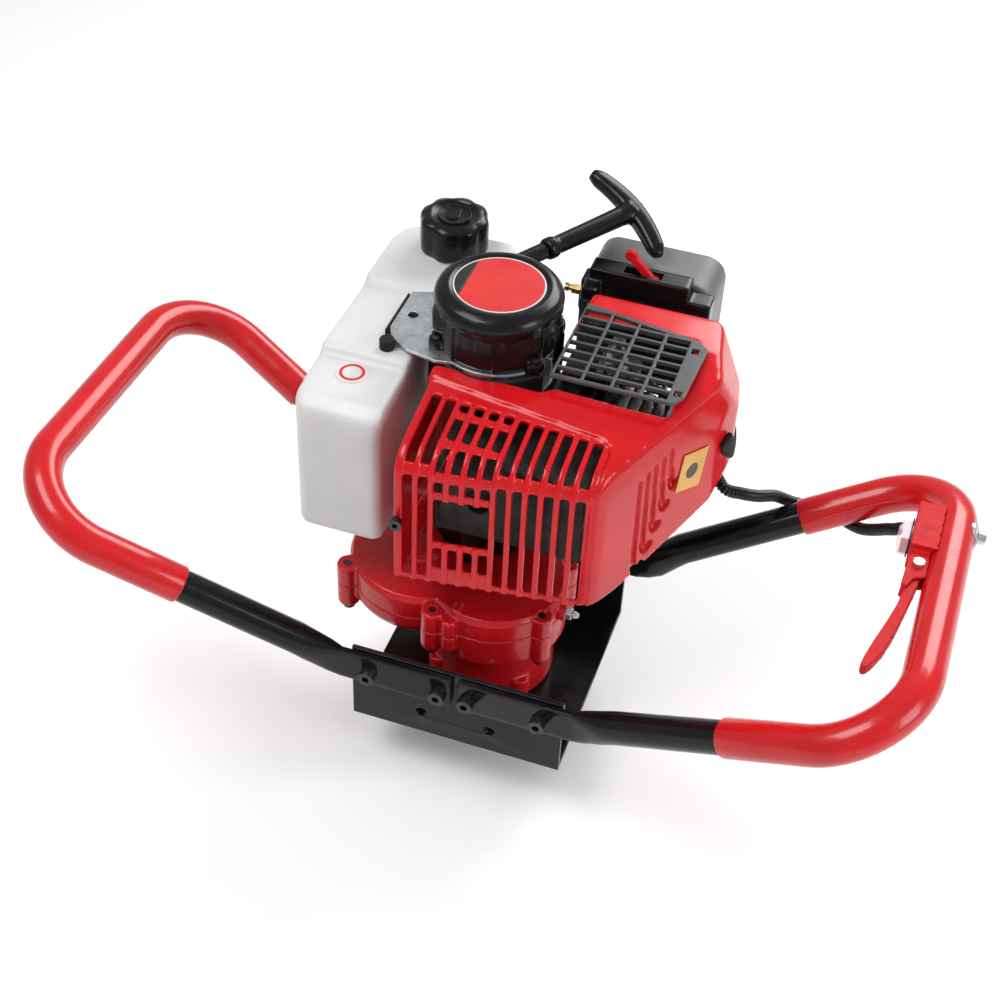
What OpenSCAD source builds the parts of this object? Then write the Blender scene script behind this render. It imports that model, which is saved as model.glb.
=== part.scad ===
// Two-handed petrol auger powerhead: gearbox, two-stroke engine and a two-loop carrying frame.
// The origin is on the output shaft's axis at the underside of the mounting bracket.
// +X points to the right-hand handle, -Y to the exhaust side and +Z up along the crank axis.

/* [Mounting bracket] */
// Length of the bracket's flanges along X
bracket_l = 172; // [150:1:200]
// Width over the two flanges along Y
bracket_w = 182.4; // [176:0.4:190]
// Height of the flanges
bracket_h = 76; // [72:1:78]
// Sheet thickness of the bracket
bracket_t = 4; // [3:0.5:5]

/* [Handles] */
// Outer diameter of the handle tube
tube_d = 25.4; // [22:0.1:28]
// Outer diameter of the grip sleeve
grip_d = 29.5; // [28:0.1:34]
// Reach of each handle loop from the centre, along X
handle_reach = 331; // [300:1:360]
// Bend radius at the loop's two corners
bend_r = 57; // [45:1:65]

/* [Gearbox] */
// Height of the joint between the gearbox case and its cover
split_z = 84; // [83:1:86]
// Height of the gearbox cover's top face
cover_z = 105; // [105:1:106]
// Gear module of both reduction stages
gear_m = 1.75; // [1.7:0.01:1.75]

/* [Output shaft] */
// Diameter of the output shaft
shaft_d = 20; // [19:0.5:20]
// How far the output shaft stands out below the bracket
shaft_out = 50; // [40:1:70]
// Diameter of the cross hole for the drill bit's pin
pin_hole_d = 8; // [6:0.5:10]

/* [Engine] */
// Height of the recoil starter's top face
starter_z = 337; // [334:1:340]
// Outer radius of the starter's rim
starter_r = 46; // [45:0.5:47]
// Height of the cylinder's axis
cyl_z = 212; // [210:1:214]
// Cylinder bore
bore_d = 44; // [40:1:46]

/* [Fuel tank] */
// Height of the tank's underside
tank_z = 152; // [151:1:160]
// Wall thickness of the tank
tank_t = 2.5; // [2:0.5:4]
// Diameter of the fuel cap
cap_d = 56; // [50:1:58]

/* [Hidden] */
$fn = 64;

red = [0.80, 0.06, 0.05];
black = [0.05, 0.05, 0.06];
steel = [0.62, 0.63, 0.65];
zinc = [0.72, 0.74, 0.75];
alloy = [0.70, 0.71, 0.72];
milky = [0.90, 0.90, 0.88];
brass = [0.78, 0.62, 0.30];
run = 0.05;

// ---- shaft positions in plan
OUT_TEETH = 59;
MID_PINION = 12;
MID_TEETH = 61;
DRUM_PINION = 11;
mid_d = gear_m * (OUT_TEETH + MID_PINION) / 2;
in_d = gear_m * (MID_TEETH + DRUM_PINION) / 2;
mid_ang = 175.134;
in_ang = 54.46;
O = [0, 0];
L = mid_d * [cos(mid_ang), sin(mid_ang)];
C = L + in_d * [cos(in_ang), sin(in_ang)];

// ---- small helpers
function unit(v) = v / norm(v);
function arc(c, r, a0, a1, n) =
    [for (i = [0:n]) let (a = a0 + (a1 - a0) * i / n) [c[0] + r * cos(a), c[1] + r * sin(a)]];

// Corner P between A and B, rounded to radius r with n steps
function corner(A, P, B, r, n) =
    let (u = unit(A - P), v = unit(B - P), half = acos(u * v) / 2,
         w = unit(u + v), K = P + w * r / sin(half),
         s = P + u * r / tan(half) - K, e = P + v * r / tan(half) - K, sweep = 180 - 2 * half)
    [for (i = [0:n]) let (a = sweep * i / n)
        K + (s * sin(sweep - a) + e * sin(a)) / sin(sweep)];

// A ring of n points round c, square to direction t; p below 1 squares the outline
function ring(c, t, a, b, p, n) =
    let (side = unit(cross(t, [0, 0, 1])), up = cross(side, t))
    [for (i = [0:n - 1]) let (w = 360 * i / n, cw = cos(w), sw = sin(w))
        c + side * (b * sign(cw) * pow(abs(cw), p)) + up * (a * sign(sw) * pow(abs(sw), p))];

function heading(path, i) =
    unit(path[min(i + 1, len(path) - 1)] - path[max(i - 1, 0)]);

// A closed tube along a path; shape(i) is [half height, half thickness, squareness]
module sweep(path, shape, n) {
    m = len(path);
    pts = [for (i = [0:m - 1]) each
        ring(path[i], heading(path, i), shape[i][0], shape[i][1], shape[i][2], n)];
    sides = [for (i = [0:m - 2]) for (j = [0:n - 1])
        [i * n + j, i * n + (j + 1) % n, (i + 1) * n + (j + 1) % n, (i + 1) * n + j]];
    polyhedron(concat(pts, [path[0], path[m - 1]]), concat(
        [for (q = sides) each [[q[0], q[1], q[2]], [q[0], q[2], q[3]]]],
        [for (j = [0:n - 1]) [m * n, (j + 1) % n, j]],
        [for (j = [0:n - 1]) [m * n + 1, (m - 1) * n + j, (m - 1) * n + (j + 1) % n]]));
}

module round_tube(path, d, n) sweep(path, [for (p = path) [d / 2, d / 2, 1]], n);

module at(p, z = 0) translate([p[0], p[1], z]) children();

module tube(ro, ri, z0, z1) translate([0, 0, z0]) difference() {
    cylinder(r = ro, h = z1 - z0);
    translate([0, 0, -1]) cylinder(r = ri, h = z1 - z0 + 2);
}

module rod(r, z0, z1) translate([0, 0, z0]) cylinder(r = r, h = z1 - z0);

module box(lo, hi) translate(lo) cube(hi - lo);

// ---- involute gear outline with stub teeth, one tooth centred on the angle given
function involute(rb, t) = rb * [cos(t) + t * PI / 180 * sin(t), sin(t) - t * PI / 180 * cos(t)];
function turn(p, a) = [p[0] * cos(a) - p[1] * sin(a), p[0] * sin(a) + p[1] * cos(a)];
function flank(z, m) =
    let (r = m * z / 2, rb = r * cos(20), ro = r + 0.8 * m,
         t_out = sqrt(pow(ro / rb, 2) - 1) * 180 / PI, t_in = 8)
    [for (k = [0:3]) involute(rb, t_in + (t_out - t_in) * k / 3)];
module gear_plan(z, m, angle) {
    r = m * z / 2;
    t_pitch = tan(20) * 180 / PI;
    lead = t_pitch - 20;
    half = 90 / z * 0.93 + lead;
    f = flank(z, m);
    root = r - 1.05 * m;
    tooth = [for (q = f) turn(q, -half)];
    back = [for (k = [len(f) - 1:-1:0]) turn([f[k][0], -f[k][1]], half)];
    polygon([for (i = [0:z - 1]) let (a = angle + 360 * i / z) each concat(
        [turn([root, 0], a - 180 / z + 0.06 * 360 / z), turn(root * unit(tooth[0]), a)],
        [for (q = tooth) turn(q, a)], [for (q = back) turn(q, a)],
        [turn(root * unit(back[len(back) - 1]), a)])]);
}
module gear(z, angle, z0, z1) translate([0, 0, z0]) linear_extrude(z1 - z0) gear_plan(z, gear_m, angle);

// ---- mounting bracket
half_l = bracket_l / 2;
half_w = bracket_w / 2;
hub_r = 22;
flange_bolt_x = [-69, -11.5, 11.5, 69];
flange_bolt_z = 60;
flange_free_x = [-28, 28];
flange_free_z = 23;
base_bolt = 34;
bolt_xy = [for (x = [-1, 1]) for (y = [-1, 1]) [x * base_bolt, y * base_bolt]];

module mounting_bracket() color(black) difference() {
    union() {
        box([-half_l, -half_w, 0], [half_l, half_w, bracket_t]);
        for (s = [-1, 1])
            translate([-half_l, s > 0 ? half_w - bracket_t : -half_w, 0])
                cube([bracket_l, bracket_t, bracket_h]);
    }
    rod(hub_r + 1, -1, bracket_t + 1);
    for (p = bolt_xy) at(p) rod(4.3, -1, bracket_t + 1);
    for (x = flange_bolt_x) translate([x, -half_w - 1, flange_bolt_z])
        rotate([-90, 0, 0]) cylinder(r = 4.3, h = bracket_w + 2);
    for (x = flange_free_x) translate([x, -half_w - 1, flange_free_z])
        rotate([-90, 0, 0]) cylinder(r = 4.5, h = bracket_w + 2);
}

// Socket-head screw along +Z, head below z = 0 and shank above
module cap_screw(head_r, head_h, r, length, socket) difference() {
    union() {
        translate([0, 0, -head_h]) cylinder(r = head_r, h = head_h);
        cylinder(r = r, h = length);
    }
    translate([0, 0, -head_h - 1]) cylinder(r = socket, h = head_h * 0.6 + 1, $fn = 6);
}

module bracket_bolts() color(steel) for (p = bolt_xy) at(p) cap_screw(6.5, 8, 4, 20, 3);

// ---- gearbox
case_r = 58;
lobe_r = 59.4;
input_r = 46;
ears = [[-113, -31, 62], [-33, -55, 64], [48, -31, 57], [50, 30, 57], [22, 74, 79.5],
    [-75, 74, 79.5], [-114, 36, 62]];
ear_r = 9;
roof_z = cover_z - 5;
shoulder_z = 57;

module case_plan(wall) {
    translate(O) circle(case_r - wall);
    translate(L) circle(lobe_r - wall);
    translate(C) circle(input_r - wall);
    polygon([O, L, C]);
}

module lobe_solid(z1) rotate_extrude() polygon([[0, 54], [32, 54], [46, 59], [55, 66],
    [lobe_r, 74], [lobe_r, z1], [0, z1]]);

module gearbox_case() color(red) difference() {
    union() {
        rotate_extrude() polygon([[0, bracket_t], [46, bracket_t], [50, 8], [50, shoulder_z],
            [case_r, shoulder_z], [case_r, split_z], [0, split_z]]);
        rod(hub_r, -bracket_t, bracket_t);
        for (p = bolt_xy) at(p) rod(8, bracket_t, 30);
        at(L) lobe_solid(split_z);
        at(L) rod(18, 48, 56);
        translate([0, 0, 79]) linear_extrude(split_z - 79) case_plan(0);
        for (e = ears) at(e) rod(ear_r, e[2], split_z);
        translate([-18, -59, 69]) cylinder(r = 6, h = split_z - 69);
    }
    rod(54, 61, split_z + 1);
    tube(46, 26, 30, 62);
    rod(21.02, 44, 57);
    rod(21.02, 16, 28);
    rod(journal_r + 2, 12, 60);
    rod(15.5, 56.8, 62);
    rod(18.02, -bracket_t - 1, 14);
    at(L) rod(14.5, 61, split_z + 1);
    at(L) rod(14.02, 53, 62);
    at(C) rod(5 + run, 80.5, split_z + 1);
    at(C) rod(13, 83, split_z + 1);
    for (p = bolt_xy) at(p) rod(4.05, -1, 24.5);
    for (e = ears) at(e) rod(3.1, e[2] - 1, split_z + 1);
}

module gearbox_cover() color(red) difference() {
    union() {
        translate([0, 0, split_z]) linear_extrude(cover_z - split_z - 3) case_plan(0);
        translate([0, 0, cover_z - 3]) linear_extrude(3) case_plan(2);
        for (e = ears) at(e) rod(ear_r, split_z, cover_z - 2);
        translate([-18, -59, split_z]) cylinder(r = 6, h = cover_z - split_z - 4);
        at(L) rod(16.5, cover_z - 1, cover_z + 5);
        for (p = housing_lugs) at(p) rod(7.4, cover_z - 8, cover_z);
        at(C) rod(19, cover_z - 1, cover_z + 9);
        box([-17, -56, cover_z - 1], [-12, -44, cover_z + 3]);
        translate([57, -12, 92]) rotate([0, 90, 0]) cylinder(r = 7, h = 6);
    }
    translate([0, 0, split_z - 1]) linear_extrude(roof_z - split_z + 1) case_plan(3.9);
    at(L) rod(14.02, roof_z - 1, roof_z + 8);
    at(L) rod(6.6, roof_z + 7, cover_z + 4);
    at(C) rod(14.02, cover_z - 1, cover_z + 7);
    at(C) rod(12, roof_z - 1, cover_z + 10);
    for (e = ears) at(e) rod(3.1, split_z - 1, cover_z);
    translate([50, -12, 92]) rotate([0, 90, 0]) cylinder(r = 3.05, h = 14);
    for (p = housing_lugs) at(p) rod(2.55, roof_z - 4, cover_z + 1);
}

module gearbox_bolts() color(steel) for (e = ears)
    translate([e[0], e[1], e[2]]) cap_screw(5, 6, 3, cover_z - 2.5 - e[2], 2.5);

module grease_nipple() color(zinc) translate([63, -12, 92]) rotate([0, 90, 0]) difference() {
    union() {
        translate([0, 0, -8]) cylinder(r = 3, h = 8.5);
        cylinder(r = 5.2, h = 4, $fn = 6);
        translate([0, 0, 3.5]) cylinder(r = 2.6, h = 3);
        translate([0, 0, 6]) cylinder(r1 = 3.2, r2 = 1.8, h = 3.5);
    }
    translate([0, 0, 6]) cylinder(r = 0.6, h = 5);
}

journal_r = 12.5;

module output_shaft() color(steel) difference() {
    union() {
        rod(shaft_d / 2, -shaft_out + 1.5, -bracket_t);
        translate([0, 0, -shaft_out]) cylinder(r1 = shaft_d / 2 - 1.5, r2 = shaft_d / 2, h = 1.5);
        rod(journal_r, -bracket_t, split_z - 1);
        rod(15, 57.3, 62);
    }
    translate([0, shaft_d, -shaft_out + 14]) rotate([90, 0, 0]) cylinder(r = pin_hole_d / 2, h = 2 * shaft_d);
}

module output_gear() color(steel) difference() {
    gear(OUT_TEETH, mid_ang + 180 / OUT_TEETH, 62, 82);
    rod(journal_r, 61, 83);
    for (a = [0:60:300]) rotate(a) translate([32, 0]) rod(9, 61, 83);
}

module bearing(ro, ri, z0, z1) difference() {
    rod(ro, z0, z1);
    rod(ri, z0 - 1, z1 + 1);
    mid = (ro + ri) / 2;
    for (z = [z0 - 1, z1 - 0.8]) tube(mid + 2, mid - 2, z, z + 1.8);
}

module output_bearings() color(steel) for (z = [16, 44.5]) bearing(21, journal_r + run, z, z + 12);

module oil_seal() color(black) tube(18, journal_r + run, -bracket_t + 0.5, 11);

module intermediate_shaft() color(steel) at(L) {
    rod(6, 53.2, cover_z + 3.5);
    gear(MID_PINION, -180 + mid_ang, 67, 84);
}

module intermediate_gear() color(steel) at(L) difference() {
    union() {
        gear(MID_TEETH, in_ang + 180 / MID_TEETH, 87, 96);
        rod(11, 84.5, 98.5);
    }
    rod(6, 83, 100);
    for (a = [0:60:300]) rotate(a) translate([31, 0]) rod(8, 86, 97);
}

module shaft_bearings() color(steel) {
    at(L) bearing(14, 6 + run, 53.5, 61.3);
    at(L) bearing(14, 6 + run, roof_z - 1, roof_z + 7);
    at(C) bearing(14, 6 + run, cover_z - 1, cover_z + 7);
}

// ---- clutch
drum_z = [cover_z + 11, cover_z + 35];
housing_z = cover_z + 45;
lug_angles = [0, 90, 180, 270];
housing_lugs = [for (a = lug_angles) C + 50 * [cos(a), sin(a)]];

module clutch_drum() color(steel) at(C) {
    rod(5, 80.8, 87);
    gear(DRUM_PINION, in_ang + 180, 86, 99);
    rod(6, 98.5, drum_z[0]);
    rod(9, cover_z + 8, drum_z[0] + 3);
    difference() {
        rod(39, drum_z[0], drum_z[1]);
        rod(36, drum_z[0] + 3, drum_z[1] + 1);
        for (a = [0:60:300]) rotate(a) translate([24, 0]) rod(5, drum_z[0] - 1, drum_z[0] + 4);
    }
}

module clutch_housing() color(black) at(C) difference() {
    union() {
        rod(input_r, cover_z, housing_z);
        for (a = lug_angles) rotate(a) translate([50, 0]) rod(7.4, cover_z, housing_z - 1);
    }
    rod(42, cover_z - 1, housing_z - 5);
    rod(24, housing_z - 6, housing_z + 1);
    for (a = lug_angles) rotate(a) translate([50, 0]) rod(3.1, cover_z - 1, housing_z + 1);
    for (a = [45, 225]) rotate(a) translate([45, 0, 128]) rotate([0, 90, 0]) cylinder(r = 10, h = 20, center = true);
}

module housing_bolts() color(steel) for (p = housing_lugs)
    translate([p[0], p[1], housing_z - 1]) mirror([0, 0, 1]) cap_screw(3.9, 5, 2.5, 48, 2.2);

module clutch_shoes() color(alloy) at(C) difference() {
    union() for (s = [0, 180]) rotate(s) difference() {
        tube(35, 15, 122, 138);
        box([-40, -40, 120], [40, 2, 140]);
        rod(16.5, 120, 140);
        rotate(30) translate([26, 0]) rod(4, 120, 140);
        rotate(150) translate([26, 0]) rod(4, 120, 140);
    }
    tube(24.5, 21.5, 128, 132);
}

module clutch_spring() color(steel) at(C) translate([0, 0, 130])
    rotate_extrude() translate([23, 0]) circle(1.2, $fn = 16);

// ---- crankcase and crank
crank_z = [163.5, 236.5];
cyl_x0 = 18;
head_x = 108;

module crankcase() color(alloy) difference() {
    union() {
        at(C) rod(44, housing_z, 250);
        box([C[0] + 18, C[1] - 32, cyl_z - 32], [cyl_x0, C[1] + 32, cyl_z + 32]);
    }
    at(C) rod(36, crank_z[0], crank_z[1]);
    at(C) rod(17.52, housing_z + 1.5, crank_z[0] + 1);
    at(C) rod(17.52, crank_z[1] - 1, 248);
    at(C) rod(12, housing_z - 1, 251);
    translate([C[0] + 10, C[1], cyl_z]) rotate([0, 90, 0]) cylinder(r = bore_d / 2 + 4, h = 60);
}

module crankshaft() color(steel) at(C) {
    rod(7.5, 122, 300);
    rod(16.2, 121.5, 138.5);
    rod(30, cyl_z - 14, cyl_z - 4);
    rod(30, cyl_z + 4, cyl_z + 14);
    translate([17, 0, cyl_z - 5]) cylinder(r = 6, h = 10);
}

module main_bearings() color(steel) at(C) {
    bearing(17.5, 7.5 + run, housing_z + 2, housing_z + 13);
    bearing(17.5, 7.5 + run, 237, 248);
}

module flywheel_fan() color(alloy) at(C) difference() {
    union() {
        rod(44, 255, 260);
        rod(14, 252, 284);
        for (a = [0:22.5:337.5]) rotate(a) box([22, -1.2, 259], [43, 1.2, 280]);
        box([-43, -12, 258], [-28, 12, 270]);
    }
    rod(7.5, 250, 285);
}

fin_half = 42;
fins = 10;
fin_pitch = (head_x - cyl_x0 - 6) / (fins - 1);

module cylinder_axis() translate([0, C[1], cyl_z]) rotate([0, 90, 0]) children();

module cylinder_block() difference() {
    union() {
        cylinder_axis() translate([0, 0, 6]) cylinder(r = bore_d / 2 + 3.9, h = head_x - 8);
        box([cyl_x0, C[1] - 32, cyl_z - 32], [cyl_x0 + 5, C[1] + 32, cyl_z + 32]);
        for (i = [1:fins - 1])
            box([cyl_x0 + 4 + i * fin_pitch, C[1] - fin_half, cyl_z - fin_half],
                [cyl_x0 + 6.4 + i * fin_pitch, C[1] + fin_half, cyl_z + fin_half]);
        box([38, C[1] - fin_half - 2, cyl_z - 14], [66, C[1], cyl_z + 14]);
        box([38, C[1], cyl_z - 14], [66, C[1] + fin_half + 2, cyl_z + 14]);
    }
    cylinder_axis() translate([0, 0, 5]) cylinder(r = bore_d / 2, h = 72);
    cylinder_axis() translate([0, 0, 76]) cylinder(r = 7, h = 60);
    translate([52, C[1] - 60, cyl_z]) rotate([-90, 0, 0]) cylinder(r = 9, h = 60);
    translate([52, C[1], cyl_z]) rotate([-90, 0, 0]) cylinder(r = 9, h = 60);
}

module cylinder_node() color(alloy) cylinder_block();

module piston() color(alloy) difference() {
    cylinder_axis() translate([0, 0, 44]) cylinder(r = bore_d / 2 - run, h = 30);
    cylinder_axis() translate([0, 0, 43]) cylinder(r = bore_d / 2 - 4, h = 26);
    translate([56, C[1], cyl_z - 30]) cylinder(r = 5, h = 60);
}

module spark_plug() color(alloy) cylinder_axis() {
    translate([0, 0, 80]) cylinder(r = 6.9, h = 28);
    translate([0, 0, head_x + 1.2]) cylinder(r = 9.5, h = 7, $fn = 6);
    translate([0, 0, 106]) cylinder(r = 6, h = 22);
    translate([0, 0, 127]) cylinder(r = 3, h = 8);
}

module plug_boot() color(black) cylinder_axis() difference() {
    union() {
        translate([0, 0, 118]) cylinder(r = 10, h = 19);
        translate([-24, 0, 130]) rotate([0, 90, 0]) cylinder(r = 6, h = 22);
    }
    translate([0, 0, 117]) cylinder(r = 6.1, h = 12);
    translate([0, 0, 128]) cylinder(r = 3.1, h = 8);
}

lead_path = [[44, 57, 272], [54, 57, 273], [70, 58, 274], [88, 59, 274], [102, 59, 272],
    [115, 58, 266], [124, 57, 258], [129, 57, 250], [130, 57, 243], [130.4, 57, 236]];
module ignition_lead() color(black) round_tube(lead_path, 7, 10);

module ignition_coil() color(black) difference() {
    union() {
        box([26, 34, 256], [44, 80, 270]);
        box([30, 42, 262], [44, 72, 282]);
    }
    for (y = [38, 76]) translate([35, y, 255]) cylinder(r = 2.5, h = 16);
}

// ---- exhaust and intake
muffler_y = [-54, -2];
exhaust = [1, 226];

module muffler() color(black) difference() {
    union() {
        box([-34, muffler_y[0] + 2, 188], [78, muffler_y[1], 260]);
        box([-30, muffler_y[0], 192], [74, muffler_y[0] + 3, 256]);
        translate([exhaust[0], muffler_y[0] - 5, exhaust[1]]) rotate([-90, 0, 0]) cylinder(r = 10, h = 8);
        box([38, muffler_y[1] - 1, cyl_z - 14], [66, C[1] - fin_half - 2.5, cyl_z + 14]);
    }
    translate([exhaust[0], muffler_y[0] - 6, exhaust[1]]) rotate([-90, 0, 0]) cylinder(r = 8.5, h = 24);
    box([-32, muffler_y[0] + 4, 190], [76, muffler_y[1] - 2, 258]);
    translate([52, muffler_y[1] - 3, cyl_z]) rotate([-90, 0, 0]) cylinder(r = 9, h = 30);
}

intake_y = C[1] + fin_half + 2;
carb_y = intake_y + 11;
base_y = [148, 166];

module port_block(y0, y1, half, r) difference() {
    box([52 - half, y0, cyl_z - half], [52 + half, y1, cyl_z + half]);
    translate([52, y0 - 1, cyl_z]) rotate([-90, 0, 0]) cylinder(r = r, h = y1 - y0 + 2);
}

module insulator() color(black) port_block(intake_y, carb_y, 14, 9);

module carburettor() color(alloy) {
    port_block(carb_y, base_y[0], 16, 9);
    translate([52, carb_y + 16, cyl_z + 15]) cylinder(r = 9, h = 22);
    translate([52, carb_y + 16, cyl_z + 36]) cylinder(r = 5, h = 12);
    box([39, carb_y + 4, cyl_z - 22], [65, carb_y + 28, cyl_z - 15]);
}

module fuel_fitting() color(brass) translate([14, 140, 286]) rotate([0, 90, 0]) difference() {
    union() {
        translate([0, 0, -12]) cylinder(r = 2.6, h = 20);
        translate([0, 0, -6]) cylinder(r = 4.2, h = 7, $fn = 6);
        translate([0, 0, -12]) cylinder(r = 3.4, h = 3);
    }
    translate([0, 0, -13]) cylinder(r = 1.4, h = 15);
}

filter_x = [12, 115];
module filter_base() color(black) difference() {
    union() {
        box([filter_x[0], base_y[0], 204], [filter_x[1], base_y[1], 290]);
        box([filter_x[0] + 6, base_y[0], 289], [filter_x[1] - 17, base_y[1], 302]);
        box([16, 134, 280], [28, base_y[0] + 1, 292]);
    }
    box([filter_x[0] + 4, base_y[0] + 6, 208], [filter_x[1] - 4, base_y[1] + 1, 284]);
    translate([52, base_y[0] - 1, cyl_z]) rotate([-90, 0, 0]) cylinder(r = 9, h = 12);
    box([44, base_y[0] + 4.5, 288], [74, base_y[1] - 4.5, 305]);
    translate([68, base_y[0] - 1, 295]) rotate([-90, 0, 0]) cylinder(r = 1.55, h = base_y[1] - base_y[0] + 2);
    translate([15, 140, 286]) rotate([0, 90, 0]) cylinder(r = 2.7, h = 8);
}

module filter_element() color([0.25, 0.25, 0.24])
    box([filter_x[0] + 6, base_y[1] - 6, 210], [filter_x[1] - 6, base_y[1] + 20, 280]);

module filter_cover() color([0.22, 0.22, 0.23]) difference() {
    translate([0, base_y[1], 0]) rotate([-90, 0, 0]) linear_extrude(46)
        polygon(concat(arc([filter_x[0] + 14, -280], 14, 180, 270, 6),
            arc([filter_x[1] - 18, -276], 18, 270, 360, 6),
            arc([filter_x[1] - 12, -216], 12, 0, 90, 6),
            arc([filter_x[0] + 12, -216], 12, 90, 180, 6)));
    box([filter_x[0] + 3, base_y[1] - 1, 207], [filter_x[1] - 3, base_y[1] + 42, 286]);
}

module choke_lever() color(red) translate([68, base_y[0] + 9, 295]) {
    rotate([90, 0, 0]) translate([0, 0, -4]) {
        cylinder(r = 4.5, h = 8);
        rotate(44) box([-3, 2, 1.5], [3, 29, 6.5]);
        rotate(44) translate([0, 29, 1.5]) cylinder(r = 4.5, h = 5);
    }
    rotate([90, 0, 0]) translate([0, 0, -8.5]) cylinder(r = 1.5, h = 17);
}

// ---- shroud
sh_t = 3;
sh_front = [-60, -80];
sh_slant = 7.5;
sh_plan = [sh_front, [sh_front[0] + 142, sh_front[1] + 18.7], [93, -50], [149, 60], [157, 84],
    [152, 112], [126, 129], [27, 129], [27, 14], [-60, 14]];
sh_inner = [[-57, -76.8], [80.6, -58.7], [90.3, -48.6], [146, 61], [153.8, 84], [149.4, 110.2],
    [125, 126], [24, 126], [24, 20], [-57, 20]];
lean_from = 256;
sh_top = [274, 296.5];
slot_x0 = -50.7;
slot_pitch = 11.25;
slot_w = 7.2;
slots = 12;

// Everything outside a face that leans inwards above lean_from, along the wall from p to q
module lean_cut(p, q, lean, t) translate([p[0], p[1], lean_from])
    rotate(atan2(q[1] - p[1], q[0] - p[0])) rotate([-lean, 0, 0])
        box([-60, -60, 0], [norm(q - p) + 60, t, 90]);

module shroud_solid(plan, t, low) difference() {
    intersection() {
        translate([0, 0, low]) linear_extrude(sh_top[1] - low) polygon(plan);
        translate([sh_front[0], sh_front[1], 0]) rotate(sh_slant)
            translate([-150, -sh_front[1], 0]) rotate([90, 0, 90]) linear_extrude(500)
                polygon([[300, low], [sh_front[1] + t, low], [sh_front[1] + t, sh_top[0] - 26],
                    each arc([sh_front[1] + 26, sh_top[0] - 26], 26 - t, 180, 101, 8),
                    [2, sh_top[1] - t], [300, sh_top[1] - t]]);
    }
    lean_cut(sh_plan[2], sh_plan[3], 8, t);
    lean_cut(sh_plan[4], sh_plan[5], 25, t);
}

module slot(i, z0, z1) {
    x = slot_x0 + i * slot_pitch;
    box([x, -100, z0], [x + slot_w, -40, z1]);
}

module engine_shroud() color(red) difference() {
    shroud_solid(sh_plan, 0, 150);
    shroud_solid(sh_inner, sh_t, 149);
    // open sides: left of the cylinder, and the rear under the top plate
    box([20, 17, 100], [34, 200, 293.4]);
    box([20, 118, 100], [128, 200, 270]);
    // lower edge rises to the rear
    translate([-200, 0, 0]) rotate([90, 0, 90]) linear_extrude(500)
        polygon([[-30, 140], [-30, 150], [60, 178], [84, 200], [140, 215], [140, 140]]);
    // slots in front and over the rounded edge
    for (i = [0:slots - 1]) {
        if (i < 2 || i > 5) {
            slot(i, 157, 254);
            slot(i, 262, sh_top[0] + 3);
            box([slot_x0 + i * slot_pitch, -62, 240], [slot_x0 + i * slot_pitch + slot_w, -12 + i, 300]);
        } else {
            slot(i, 166, 190);
            slot(i, 240, 247);
            slot(i, 253, 268);
            box([slot_x0 + i * slot_pitch, -64, 240], [slot_x0 + i * slot_pitch + slot_w, -27, 300]);
            box([slot_x0 + i * slot_pitch, -20, 280], [slot_x0 + i * slot_pitch + slot_w, -13, 300]);
        }
    }
    // exhaust window
    box([slot_x0 + 2 * slot_pitch, -100, 196], [slot_x0 + 5 * slot_pitch + slot_w, -60, 233]);
    // opening under the grid
    box([31, 18, 280], [117, 96, 300]);
    // cheek louvres
    for (k = [0:4]) translate([101 + 8 * k, -41 + 17 * k, 0]) rotate(-25.4)
        box([-20, -3, 190 + 4 * k], [20, 3, 250 + 2 * k]);
    for (p = shroud_screw_at) translate([p[0], p[1], p[2]]) rotate(p[3]) rotate([-90, 0, 0])
        translate([0, 0, -10]) cylinder(r = 2.6, h = 20);
}

shroud_screw_at = [[-53.5, -79.35, 210, 7.5]];

module shroud_grid() color([0.16, 0.17, 0.17]) translate([0, 0, sh_top[1]]) difference() {
    linear_extrude(3) polygon([[27.5, 15], [119, 15], [125, 26], [128, 84], [118, 93], [29, 108]]);
    for (i = [0:7]) for (j = [0:3])
        translate([0, 0, -1]) linear_extrude(5) intersection() {
            translate([30 + 22 * j, 18 + 10.6 * i]) square([19.6, 8.2]);
            polygon([[29.5, 17], [113.5, 17], [113.5, 90], [30, 104]]);
        }
    box([116.5, 24, -1], [122, 30, 4]);
    box([116.5, 76, -1], [122, 82, 4]);
}

module cover_screws() color(steel) {
    for (p = shroud_screw_at) translate([p[0], p[1], p[2]]) rotate(p[3])
        rotate([-90, 0, 0]) cap_screw(5, 5, 2.5, 5, 2.2);
    for (a = boss_angles) at(C) rotate(a)
        translate([boss_r, 0, 296]) mirror([0, 0, 1]) cap_screw(4.4, 4, 2.2, 24, 2);
}

// ---- fan housing, starter and its bracket
fan_z = [250, 286];
plate_z = [286, 288.5];
boss_angles = [-34, 34, 146, 214];
boss_r = 46;
screw_r = 2.3;

module fan_housing() color(black) at(C) difference() {
    union() {
        rod(50, fan_z[0], fan_z[1]);
        for (a = boss_angles) rotate(a) translate([boss_r, 0]) rod(6.5, fan_z[0], fan_z[1]);
    }
    rod(46, fan_z[0] + 3, fan_z[1] + 1);
    rod(20, fan_z[0] - 1, fan_z[0] + 4);
    box([30, -26, 254], [60, 26, 300]);
    for (a = boss_angles) rotate(a) translate([boss_r, 0]) rod(screw_r, 268, fan_z[1] + 1);
}

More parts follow.
